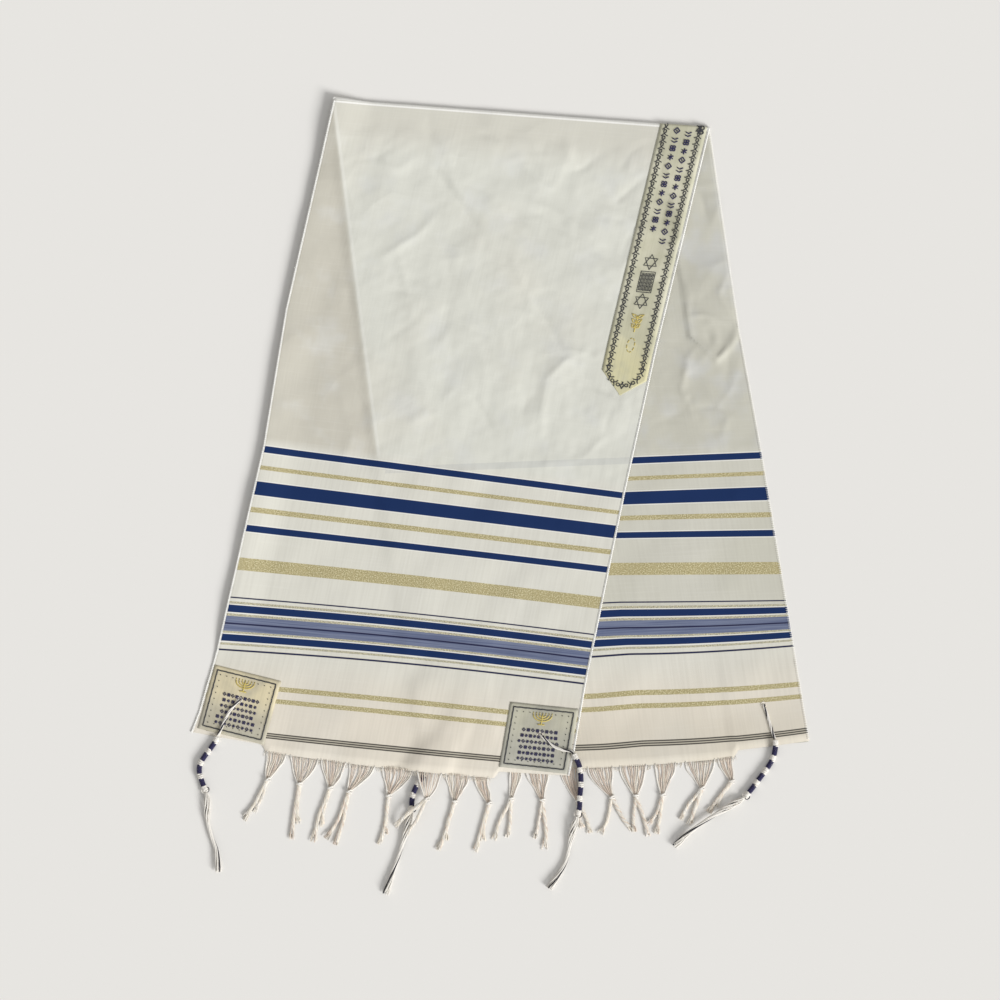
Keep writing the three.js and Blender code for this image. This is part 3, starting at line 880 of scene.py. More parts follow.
WEAVE = make_weave_group()
STRIPE = make_stripe_group()
PAINTED_GLINTS = make_painted_glint_group()
TWIST = make_twist_group()


def start_material(name: str) -> tuple[bpy.types.Material, Nodes, bpy.types.Node]:
    """Returns a new material, its nodes and its Principled BSDF."""
    material = bpy.data.materials.new(name)
    material.use_nodes = True
    return material, Nodes(material.node_tree), material.node_tree.nodes["Principled BSDF"]


class Yarn(Enum):
    """The colours that the cloth's stripes are woven in."""

    BLUE = "#0F2A58"
    NAVY = "#232544"
    GOLD = "#B1A57B"
    SILVER = "#ADA999"
    LAVENDER = "#747C94"
    GREY = "#4C4943"
    LINEN = "#C2BBAB"
    PALE = "#E9E7E0"


@dataclass(frozen=True)
class Stripe:
    """One woven stripe: where it starts and stops, from the first stripe's upper edge."""

    start: float
    stop: float
    yarn: Yarn


STRIPES = (
    Stripe(0, 9.5, Yarn.BLUE), Stripe(28, 34, Yarn.GOLD), Stripe(51, 70.5, Yarn.BLUE),
    Stripe(88, 95.5, Yarn.GOLD), Stripe(114, 123.5, Yarn.BLUE), Stripe(161, 179, Yarn.GOLD),
    Stripe(217.5, 219.5, Yarn.NAVY), Stripe(224, 227.5, Yarn.SILVER), Stripe(229, 239.5, Yarn.BLUE),
    Stripe(241.5, 245, Yarn.SILVER), Stripe(245, 266.5, Yarn.LAVENDER), Stripe(254.5, 256.8, Yarn.NAVY),
    Stripe(266.5, 269.5, Yarn.SILVER), Stripe(271, 281, Yarn.BLUE), Stripe(283.5, 286.5, Yarn.SILVER),
    Stripe(292.4, 295, Yarn.NAVY), Stripe(341.5, 348.5, Yarn.GOLD), Stripe(359.2, 365.8, Yarn.GOLD),
    Stripe(408, 416, Yarn.LINEN), Stripe(408, 409.8, Yarn.GREY), Stripe(411.1, 412.9, Yarn.GREY),
    Stripe(414.2, 416, Yarn.GREY),
)
# Where two stripes cover the same place, the later of their yarns shows.
LAID_IN_TURN = (Yarn.GOLD, Yarn.SILVER, Yarn.LAVENDER, Yarn.BLUE, Yarn.NAVY, Yarn.LINEN, Yarn.GREY)
SLIVER = 1.3    # the pale line beside each blue stripe


@dataclass(frozen=True)
class ClothFinish:
    """The woven cloth: cream ground, warmer in the striped part, with its stripes."""

    alone: str = "#C6C2B5"
    doubled: str = "#D8D8CE"
    striped: str = "#DAD8CD"
    near_hem: str = "#E0D8C9"
    near_fold: str = "#D4D1C5"
    back_leaf: str = "#C4C2B5"
    threads: float = 1500.0

    def ground(self, n: Nodes, place: object, where: object) -> bpy.types.NodeSocket:
        """Wires the colour of the cloth between its stripes, with painted highlights along the fold and along
        the ridge over the back leaf's edge, and painted shade on the single layer near the fold.

        Args:
            n: The material's nodes.
            place: Distance past the first stripe, in metres.
            where: Place in the object.

        Returns:
            The colour.
        """
        inside = n.add("Attribute", attribute_name="inside_under").outputs["Fac"]
        doubled = n.rise(inside, -0.007, 0.002)
        # mask of a painted highlight: a thin light line along the ridge where the front leaf steps over the
        # back leaf's edge
        step = n.math("SUBTRACT", n.rise(inside, -0.003, 0.0), n.rise(inside, 0.0015, 0.0045))
        back = n.add("Attribute", attribute_name="back_leaf").outputs["Fac"]
        clouds = n.noise(where, 5.0, 3.0)
        mottle = n.noise(where, 17.0, 3.0)
        top = n.blend(doubled, tone(self.alone), tone(self.doubled))
        top = n.blend(n.math("MULTIPLY", n.rise(clouds, 0.45, 0.7), 0.4), top, tone("#D5D1C4"))
        top = n.blend(n.math("MULTIPLY", n.rise(mottle, 0.5, 0.72), 0.35), top, tone("#D9DAD8"))
        fold_share = n.math("MULTIPLY", n.rise(place, -0.50, -0.44, 0.8, 0.0),
                            n.rise(doubled, 0, 1, 0.3, 1))
        top = n.blend(fold_share, top, tone(self.near_fold))
        # painted shade: darkens the single layer near the fold, offsetting the light on its raised slope
        alone = n.math("MULTIPLY", n.rise(doubled, 0.0, 1.0, 1.0, 0.0),
                       n.rise(place, -0.47, -0.34, 0.75, 0.0))
        top = n.blend(alone, top, tone("#B6B2A5"))
        # painted highlight on that ridge
        top = n.blend(n.math("MULTIPLY", step, 0.45), top, tone("#E6E5DD"))
        patches = n.math("MULTIPLY", n.rise(mottle, 0.45, 0.7), 0.4)
        beneath = n.blend(patches, tone(self.back_leaf), tone("#C9CBCF"))
        ground = n.blend(back, top, beneath)
        # painted highlight: a thin near-white line on both sides of the fold
        turned = n.math("MULTIPLY", back, n.rise(place, -0.503, -0.505))
        painted_fold_highlight = n.math("MAXIMUM", turned, n.rise(place, -0.522, -0.5235))
        ground = n.blend(n.math("MULTIPLY", painted_fold_highlight, 0.9), ground, tone("#FBFAF5"))
        low = n.blend(n.rise(place, 0.28, 0.37), tone(self.striped), tone(self.near_hem))
        low = n.blend(n.math("MULTIPLY", back, n.rise(place, 0.2, 0.31, 0.85, 0.0)), low, tone("#C5C3B5"))
        low = n.blend(n.math("MULTIPLY", back, n.rise(place, 0.35, 0.41, 0.0, 0.4)), low, tone("#C6BEAC"))
        low = n.blend(n.math("MULTIPLY", n.rise(clouds, 0.4, 0.65), 0.3), low, tone("#D3D1C9"))
        return n.blend(n.rise(place, -0.016, 0.002), ground, low)

    def crumple(self, n: Nodes, place: object, where: object) -> bpy.types.NodeSocket:
        """Wires the small flat facets between pressed-in creases.

        Args:
            n: The material's nodes.
            place: Distance past the first stripe, in metres.
            where: Place in the object.

        Returns:
            Their height.
        """
        stray = n.add("TexNoise", {"Vector": where, "Scale": 9.0, "Detail": 2.0}).outputs["Color"]
        bent = n.add("VectorMath", {0: stray, 1: (0.05, 0.05, 0.05), 2: where}, operation="MULTIPLY_ADD")
        cells = n.add("TexVoronoi", {"Vector": bent.outputs[0], "Scale": 13.0}).outputs["Distance"]
        share = n.math("MULTIPLY", n.rise(n.noise(where, 6.0, 2.0), 0.4, 0.62),
                       n.rise(place, -0.08, 0.0, 1.0, 0.2))
        return n.math("MULTIPLY", cells, share)

    def mask_of(self, n: Nodes, place: object,
                stripes: Sequence[tuple[float, float]]) -> bpy.types.NodeSocket:
        """Wires the mask of several stripes together.

        Args:
            n: The material's nodes.
            place: Distance past the first stripe, in metres.
            stripes: Start and stop of each stripe, in millimetres.

        Returns:
            The mask.
        """
        total = None
        for start, stop in stripes:
            node = n.add("Group", node_tree=STRIPE)
            n.tree.links.new(place, node.inputs["Place"])
            node.inputs["Start"].default_value = start * MM
            node.inputs["Stop"].default_value = stop * MM
            mask = node.outputs["Mask"]
            total = mask if total is None else n.math("ADD", total, mask, clamp=True)
        return total

    def build(self) -> bpy.types.Material:
        """Returns the material."""
        material, n, shader = start_material("woven_cloth")
        place = n.add("Attribute", attribute_name="stripe_place").outputs["Fac"]
        under = n.add("Attribute", attribute_name="under_place").outputs["Fac"]
        flat = n.add("UVMap", uv_map="cloth_map").outputs[0]
        where = n.add("TexCoord").outputs["Object"]
        weave = n.add("Group", {"Map": flat, "Threads": self.threads}, node_tree=WEAVE)
        painted_glints = n.add("Group", {"Map": flat}, node_tree=PAINTED_GLINTS)
        colour = self.ground(n, place, where)
        streaks = n.math("MULTIPLY", n.rise(weave.outputs["Warp"], 0.35, 0.7),
                         n.rise(place, -0.02, 0.02, 0.05, 0.11))
        colour = n.blend(streaks, colour, tone("#A9A498"))
        slubs = n.math("MULTIPLY", n.rise(weave.outputs["Weft"], 0.5, 0.75), 0.07)
        colour = n.blend(slubs, colour, tone("#F0EEE8"))
        blues = [(s.start, s.stop) for s in STRIPES if s.yarn is Yarn.BLUE]
        shade = n.math("MULTIPLY", self.mask_of(n, under, blues[:1]), 0.15)
        colour = n.blend(shade, colour, tone("#7B8397"))
        slivers = [(a - SLIVER, b + SLIVER) for a, b in blues]
        colour = n.blend(self.mask_of(n, place, slivers), colour, tone(Yarn.PALE.value))
        for yarn in LAID_IN_TURN:
            edges = [(s.start, s.stop) for s in STRIPES if s.yarn is yarn]
            woven: object = tone(yarn.value)
            if yarn in (Yarn.GOLD, Yarn.SILVER):
                # painted glints: bright and dark specks in the gold and silver yarns' colour stand in for
                # their sparkle
                woven = n.blend(painted_glints.outputs["Bright"], woven, tone("#D2CBA6"))
                woven = n.blend(n.math("MULTIPLY", painted_glints.outputs["Dark"], 0.7), woven, tone("#8D8460"))
            if yarn is Yarn.LAVENDER:
                woven = n.blend(n.rise(weave.outputs["Weft"], 0.4, 0.62), woven, tone("#5E6783"))
            colour = n.blend(self.mask_of(n, place, edges), colour, woven)
        crumple = n.add("Bump", {"Strength": 0.7, "Distance": 0.004, "Height": self.crumple(n, place, where)})
        bump = n.add("Bump", {"Strength": 0.25, "Distance": 0.0003, "Height": weave.outputs["Height"],
                              "Normal": crumple.outputs[0]})
        slub_bump = n.add("Bump", {"Strength": 0.3, "Distance": 0.0004, "Height": weave.outputs["Warp"],
                                   "Normal": bump.outputs[0]})
        n.tree.links.new(colour, shader.inputs["Base Color"])
        n.tree.links.new(slub_bump.outputs[0], shader.inputs["Normal"])
        shader.inputs["Roughness"].default_value = 0.82
        shader.inputs["Specular IOR Level"].default_value = 0.25
        return material


@dataclass(frozen=True)
class SatinFinish:
    """Satin, from one tone at the top of its map to another at the bottom: painted sheen and shade across the
    piece.
    """

    name: str
    upper: str
    lower: str
    patchy: str
    low: float
    high: float

    def build(self) -> bpy.types.Material:
        """Returns the material."""
        material, n, shader = start_material(self.name)
        flat = n.add("UVMap", uv_map="cloth_map").outputs[0]
        where = n.add("TexCoord").outputs["Object"]
        weave = n.add("Group", {"Map": flat, "Threads": 2400.0}, node_tree=WEAVE)
        height = n.add("SeparateXYZ", {0: flat}).outputs["Y"]
        # painted sheen and shade: the tone changes from one end of the piece to the other, as light falls on
        # the satin
        colour = n.blend(n.rise(height, self.low, self.high), tone(self.lower), tone(self.upper))
        clouds = n.math("MULTIPLY", n.rise(n.noise(where, 26.0), 0.4, 0.64), 0.75)
        colour = n.blend(clouds, colour, tone(self.patchy))
        ribs = n.math("MULTIPLY", n.rise(weave.outputs["Warp"], 0.4, 0.7), 0.16)
        colour = n.blend(ribs, colour, tone("#97947F"))
        bump = n.add("Bump", {"Strength": 0.2, "Distance": 0.0003, "Height": weave.outputs["Warp"]})
        n.tree.links.new(colour, shader.inputs["Base Color"])
        n.tree.links.new(n.rise(weave.outputs["Weft"], 0.3, 0.7, 0.5, 0.64), shader.inputs["Roughness"])
        n.tree.links.new(bump.outputs[0], shader.inputs["Normal"])
        shader.inputs["Specular IOR Level"].default_value = 0.28
        return material


@dataclass(frozen=True)
class ThreadFinish:
    """Twisted yarn of one colour, with painted shade in the grooves of its twist."""

    name: str
    colour: str
    groove: str
    roughness: float = 0.85
    plies: float = 3.0
    turns: float = 420.0

    def build(self) -> bpy.types.Material:
        """Returns the material."""
        material, n, shader = start_material(self.name)
        flat = n.add("UVMap", uv_map="cloth_map").outputs[0]
        where = n.add("TexCoord").outputs["Object"]
        twist = n.add("Group", {"Map": flat, "Plies": self.plies, "Turns": self.turns}, node_tree=TWIST)
        # painted shade: the grooves between the plies are darkened towards the groove tone
        painted_groove_shade = n.rise(twist.outputs["Height"], 0.45, 0.0, 0.0, 0.6)
        colour = n.blend(painted_groove_shade, tone(self.colour), tone(self.groove))
        soil = n.math("MULTIPLY", n.rise(n.noise(where, 90.0), 0.45, 0.7), 0.3)
        colour = n.blend(soil, colour, tone(self.groove))
        bump = n.add("Bump", {"Strength": 0.5, "Distance": 0.0003, "Height": twist.outputs["Height"]})
        n.tree.links.new(colour, shader.inputs["Base Color"])
        n.tree.links.new(bump.outputs[0], shader.inputs["Normal"])
        shader.inputs["Roughness"].default_value = self.roughness
        return material


CLOTH = ClothFinish().build()
# the band's yellower front point is a painted highlight; the patches' darker lower parts are painted shade
BAND_SATIN = SatinFinish("band_satin", "#CFCCB6", "#D2CCA4", "#BCBAA1", -0.36, -0.25).build()
LEFT_SATIN = SatinFinish("left_patch_satin", "#DCD0AE", "#C0BBAA", "#B9B29C", -0.03, 0.02).build()
RIGHT_SATIN = SatinFinish("right_patch_satin", "#BEBBA8", "#BAB8AC", "#A9A79B", -0.03, 0.03).build()
WHITE = ThreadFinish("white_thread", "#F3EFE8", "#C2BCB0").build()
CREAM = ThreadFinish("cream_thread", "#F4ECDE", "#D2C9B8").build()
ROSE = ThreadFinish("rose_thread", "#E9DACB", "#C3B09E").build()
EDGE = ThreadFinish("edge_thread", "#FFFEFA", "#DDDAD2").build()
NAVY = ThreadFinish("navy_thread", "#35325A", "#1A1930").build()
BLACK = ThreadFinish("black_thread", "#2C2B33", "#131217").build()
DARK = ThreadFinish("dark_thread", "#44454A", "#26262A").build()
GOLD = ThreadFinish("gold_thread", "#D3C06A", "#A3914C", roughness=0.5).build()


# ------------------------------------------------------------------ the cloth

def attach(piece: bpy.types.Object, slot: str, *nodes: str) -> None:
    """Ties a piece to the body.

    Args:
        piece: The piece.
        slot: Not used.
        nodes: The nodes that it stands for.
    """
    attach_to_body(piece, "root")
    if nodes:
        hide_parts(*nodes)
    LOG.info("%s: %d points", piece.name, len(piece.data.vertices))


def add_values(piece: bpy.types.Object, name: str, values: Array) -> None:
    """Adds a number for each point of a piece's mesh."""
    layer = piece.data.attributes.new(name, "FLOAT", "POINT")
    layer.data.foreach_set("value", np.asarray(values, np.float32).ravel())


@dataclass
class Shawl:
    """The long cloth itself, one sheet folded across its length."""

    columns: tuple[int, int] = (84, 40)
    finer_from: float = 0.75
    front_rows: tuple[int, int] = (152, 38)
    arc_rows: int = 8
    back_rows: tuple[int, int] = (137, 38)

    def front_place(self, along: Array, share: Array) -> Array:
        """Finds the distance past the first stripe, where the cloth lies a little bowed.

        Args:
            along: Distance from the fold.
            share: Share of the width.

        Returns:
            The distance at each place.
        """
        place = along - FRONT.notch(along, share) - FRONT.first_stripe
        bow = 5 * np.sin(np.pi * share) * ramp(place, 70, 290)
        bare = (np.minimum(share, 1 - share) < 0.03) & (place > 385)
        return place + bow + (6 * share - 1.2) * ramp(place, 330, 400) + 60 * bare

    def back_place(self, along: Array, share: Array) -> Array:
        """Finds the distance past the first stripe, where the cloth is drawn up on both sides.

        Args:
            along: Distance from the fold.
            share: Share of the width.

        Returns:
            The distance at each place.
        """
        place = along - BACK.notch(along, share) - BACK.first_stripe
        left = 9 * np.minimum((1 - share) / 0.43, 1) * ramp(place, 20, 160)
        right = np.clip((share - 0.59) / 0.4, 0, None) ** 1.8 * ramp(place, 200, 295)
        settle = 2 * (1 - ramp(share, 0.45, 0.6)) * ramp(place, 250, 300)
        return place + left + right * (10 - 5 * ramp(place, 300, 342)) - settle

    def build(self) -> bpy.types.Object:
        """Builds the sheet."""
        back_stripes = -FOLD_ARC - BACK.first_stripe
        run = np.concatenate([
            np.linspace(FRONT.hem, FRONT.first_stripe, self.front_rows[1]),
            np.linspace(FRONT.first_stripe, 0, self.front_rows[0])[1:],
            np.linspace(0, -FOLD_ARC, self.arc_rows)[1:],
            np.linspace(-FOLD_ARC, back_stripes, self.back_rows[0])[1:],
            np.linspace(back_stripes, -FOLD_ARC - BACK.hem, self.back_rows[1])[1:],
        ])
        share = np.concatenate([np.linspace(0, self.finer_from, self.columns[0]),
                                np.linspace(self.finer_from, 1, self.columns[1])[1:]])
        run, share = np.meshgrid(run, share, indexing="ij")
        flat = np.stack([share * CLOTH_WIDTH, -run], axis=-1) * MM
        sheet = make_shell("shawl_cloth", LIE.face(run, share), LIE.face(run, share, -CLOTH_THICK), flat)
        front = run >= 0
        place = np.where(front, self.front_place(run, share), self.back_place(-run - FOLD_ARC, share))
        x, y = FRONT.place(np.maximum(run, 0), share)
        under_along, under_share = BACK.find(x, y)
        inside = np.where(front, np.clip(under_share * CLOTH_WIDTH, -60, 60), -60.0)
        under = np.where(front & (under_share > 0), under_along - BACK.first_stripe, -400.0)
        for name, values in (("stripe_place", place * MM), ("inside_under", inside * MM),
                             ("back_leaf", (~front).astype(float)), ("under_place", under * MM)):
            add_values(sheet, name, np.concatenate([values.ravel(), values.ravel()]))
        sheet.data.materials.append(CLOTH)
        attach(sheet, "cloth", "shawl")
        return sheet


@dataclass
class EdgeStitching:
    """The overlocked long edges: an edge cord and slanting stitches over it."""

    pitch: float = 2.8
    depth: float = 2.6
    thread: float = 0.5

    def build(self) -> bpy.types.Object:
        """Builds both edges as one piece."""
        threads = Threads("edge_stitching")
        runs = np.arange(FRONT.hem - 1, -FOLD_ARC - BACK.hem + 1, -self.pitch)
        inset = self.depth / CLOTH_WIDTH
        proud = 0.5 / CLOTH_WIDTH
        stand = self.thread * 0.7
        for edge, inward in ((0.0, 1.0), (1.0, -1.0)):
            profile = ((inset, stand), (inset * 0.45, stand), (-proud, stand * 0.4),
                       (-proud, -CLOTH_THICK - stand * 0.4), (inset * 0.45, -CLOTH_THICK - stand),
                       (inset, -CLOTH_THICK - stand))
            rings = [LIE.face(runs + 0.35 * i, np.full(runs.shape, edge + inward * depth), out)
                     for i, (depth, out) in enumerate(profile)]
            for stitch in np.stack(rings, axis=1):
                stitch[:, 2] = np.maximum(stitch[:, 2], 0.45)
                threads.add(stitch, self.thread, 4)
            for place, radius in ((inset, 0.35), (inset * 0.4, 0.75)):
                threads.add(LIE.face(runs, np.full(runs.shape, edge + inward * place), stand), radius, 4)
        piece = threads.build([EDGE])
        attach(piece, "cloth")
        return piece


# ------------------------------------------------------------------ sewn satin pieces

def draw_figure(stitches: Stitches, kind: int, x: float, y: float, size: float, radius: float,
                slot: int) -> None:
    """Stitches one plain figure: a lozenge, a double chevron, a flower or a small star.

    Args:
        stitches: What the figure is added to.
        kind: Which of the four figures it is.
        x: First place of its middle on the plan.
        y: Second place of its middle.
        size: Half its width.
        radius: Radius of its thread.
        slot: Which of the piece's materials it has.
    """
    if kind == 0:
        corners = [(x - size, y), (x, y + size), (x + size, y), (x, y - size)]
        stitches.line([*corners, corners[0]], radius, slot)
        stitches.line([(x - size / 4, y), (x + size / 4, y)], radius, slot)
    elif kind == 1:
        for shift in (-size / 2, size / 2):
            foot = x + shift
            stitches.line([(foot, y - size), (foot + size / 2, y), (foot, y + size)], radius, slot)
    elif kind == 2:
        for turn in (45, 135, 225, 315):
            c, s = size * math.cos(math.radians(turn)), size * math.sin(math.radians(turn))
            stitches.oval((x + 0.62 * c, y + 0.62 * s), size * 0.8, size * 0.8, radius, slot)
    else:
        for turn in (0, 60, 120):
            c, s = size * math.cos(math.radians(turn)), size * math.sin(math.radians(turn))
            stitches.line([(x - c, y - s), (x + c, y + s)], radius, slot)


@dataclass
class Neckband:
    """The pointed satin strip over the fold, with its embroidery."""

    inset: float = 9.5
    chain_pitch: float = 9.6
    seam: float = 0.15

    @property
    def middle(self) -> float:
        """Share of the cloth's width along the band's middle."""
        return (BAND_INNER + BAND_OUTER) / 2

    @property
    def half(self) -> float:
        """Half the band's width."""
        return (BAND_OUTER - BAND_INNER) / 2 * CLOTH_WIDTH

    def narrowing(self, run: Array, side: Array) -> Array:
        """Finds how the band narrows to its two points.

        Args:
            run: Distance along the cloth.
            side: Below zero on the band's inner side.

        Returns:
            The share of its full width at each place.
        """
        front = (BAND_FRONT - run) / np.where(side < 0, BAND_SHOULDER, BAND_OUTER_SHOULDER)
        back = (run + FOLD_ARC + BAND_BACK) / BAND_SHOULDER
        return np.clip(np.minimum(front, back), 0.03, 1)

    def surface(self, run: Array, across: Array, lift: Array) -> Array:
        """Returns points over the band's outer face."""
        return LIE.face(run, self.middle + across / CLOTH_WIDTH, self.seam + TRIM_THICK + lift)

    def build_strip(self) -> bpy.types.Object:
        """Builds the satin."""
        back_shoulder = -FOLD_ARC - BAND_BACK + BAND_SHOULDER
        run = np.concatenate([
            np.linspace(BAND_FRONT, BAND_FRONT - BAND_SHOULDER, 16),
            np.linspace(BAND_FRONT - BAND_SHOULDER, 0, 90)[1:],
            np.linspace(0, -FOLD_ARC, 9)[1:],
            np.linspace(-FOLD_ARC, back_shoulder, 70)[1:],
            np.linspace(back_shoulder, -FOLD_ARC - BAND_BACK, 12)[1:],
        ])
        run, across = np.meshgrid(run, np.linspace(-1, 1, 15), indexing="ij")
        across = across * self.half * self.narrowing(run, across)
        flat = np.stack([across, -run], axis=-1) * MM
        outer = self.surface(run, across, 0.0)
        inner = self.surface(run, across, -TRIM_THICK)
        strip = make_shell("neckband_satin", outer, inner, flat)
        strip.data.materials.append(BAND_SATIN)
        attach(strip, "satin", "neckband")
        return strip

    def chain_link(self, stitches: Stitches, run: float, across: float, turn: float, side: int) -> None:
        """Adds one branching link of the chain.

        Args:
            stitches: What the link is added to.
            run: Distance along the cloth.
            across: Distance from the band's middle.
            turn: Angle from the band's length.
            side: Which side of the band it is on, -1 or 1.
        """
        c, s = math.cos(turn), math.sin(turn)
        loop = [(-2.4, 2.2), (-5.2, 1.4), (-5.0, -1.6), (-1.8, -2.0), (0.4, 0.4), (-2.4, 2.2)]
        for leg in (loop, [(0.4, 0.4), (2.6, -2.2), (3.6, -5.4)], [(0.0, 0.4), (2.4, 2.0), (4.2, 4.6)]):
            stitches.line([(run + a * c - b * s, side * (across + a * s + b * c)) for a, b in leg], 0.72)

    def chain_border(self, stitches: Stitches) -> None:
        """Adds the branching chain down both long sides and round the front point.

        Args:
            stitches: What they are added to.
        """
        reach = self.half - self.inset
        corner = BAND_FRONT - BAND_SHOULDER - 6
        depth = BAND_SHOULDER - 8
        for side in (-1, 1):
            run = corner - 4.0
            while run > -FOLD_ARC - BAND_BACK + BAND_SHOULDER + 8:
                self.chain_link(stitches, run, reach, 0.0, side)
                run -= self.chain_pitch
            for step in range(4):
                angle = math.radians(80 - 24 * step)
                turn = math.atan2(-reach * math.cos(angle), depth * math.sin(angle))
                place = (corner + depth * math.cos(angle), reach * math.sin(angle))
                self.chain_link(stitches, *place, turn, side)

    def figure_rows(self, stitches: Stitches) -> None:
        """Adds two rows of plain figures beside the fold."""
        for line, first, count in ((-8.0, 6.0, 12), (9.5, 9.0, 13)):
            for index in range(count):
                run = first + index * 13.0
                draw_figure(stitches, (index + (line > 0)) % 4, run, line, 4.4, 0.85, 1)

    def fold_knot(self, stitches: Stitches) -> None:
        """Adds the crowded stitches where the border turns over the fold."""
        for step in range(5):
            stitches.oval((6.0 - 3.0 * step, self.half - 7 - step % 2 * 3), 5, 7, 0.8)

    def star(self, stitches: Stitches, run: float, radius: float) -> None:
        """Adds a six-pointed star of two triangles.

        Args:
            stitches: What the star is added to.
            run: Distance along the cloth.
            radius: From its middle to its points.
        """
        for flip in (0, 60):
            corners = [math.radians(flip + 120 * k) for k in range(4)]
            stitches.line([(run + radius * math.cos(a), radius * math.sin(a)) for a in corners], 0.5)

    def dark_panel(self, stitches: Stitches, run: float) -> None:
        """Adds the close-stitched panel between the two stars.

        Args:
            stitches: What they are added to.
            run: Distance along the cloth to the middle.
        """
        for row in range(9):
            line = -8.4 + row * 2.1
            wave = [(run - 13 + k * 2.6, line + (0.5 if k % 2 else -0.5)) for k in range(11)]
            stitches.line(wave, 0.55)
        stitches.line([(run - 15, -10.5), (run + 15, -10.5), (run + 15, 10.5), (run - 15, 10.5),
                       (run - 15, -10.5)], 0.5)

    def gold_sprig(self, stitches: Stitches, run: float) -> None:
        """Adds the gold sprig of leaves and the broken oval under it.

        Args:
            stitches: What they are added to.
            run: Distance along the cloth to the middle.
        """
        stitches.line([(run - 12, 0), (run + 12, 0)], 0.8, 2)
        for side in (-1, 1):
            for step in range(3):
                foot = run - 8 + step * 7
                tip = (foot - 6, side * (9 - step * 1.5))
                leaf = [(foot, 0), (foot - 4.5, side * 3), tip, (foot - 1, side * 5), (foot, 0)]
                stitches.line(leaf, 0.7, 2)
        for step in range(8):
            stitches.oval((run + 31, 0), 20, 11, 0.6, 2, step * 45, step * 45 + 28)

    def build_embroidery(self) -> bpy.types.Object:
        """Builds every stitch on the band as one piece."""
        stitches = Stitches()
        self.chain_border(stitches)
        self.figure_rows(stitches)
        self.fold_knot(stitches)
        self.star(stitches, 197, 11)
        self.dark_panel(stitches, 226)
        self.star(stitches, 254, 11)
        self.gold_sprig(stitches, 287)
        threads = Threads("neckband_embroidery")
        stitches.lay(threads, self.surface)
        piece = threads.build([DARK, NAVY, GOLD])
        attach(piece, "satin")
        return piece


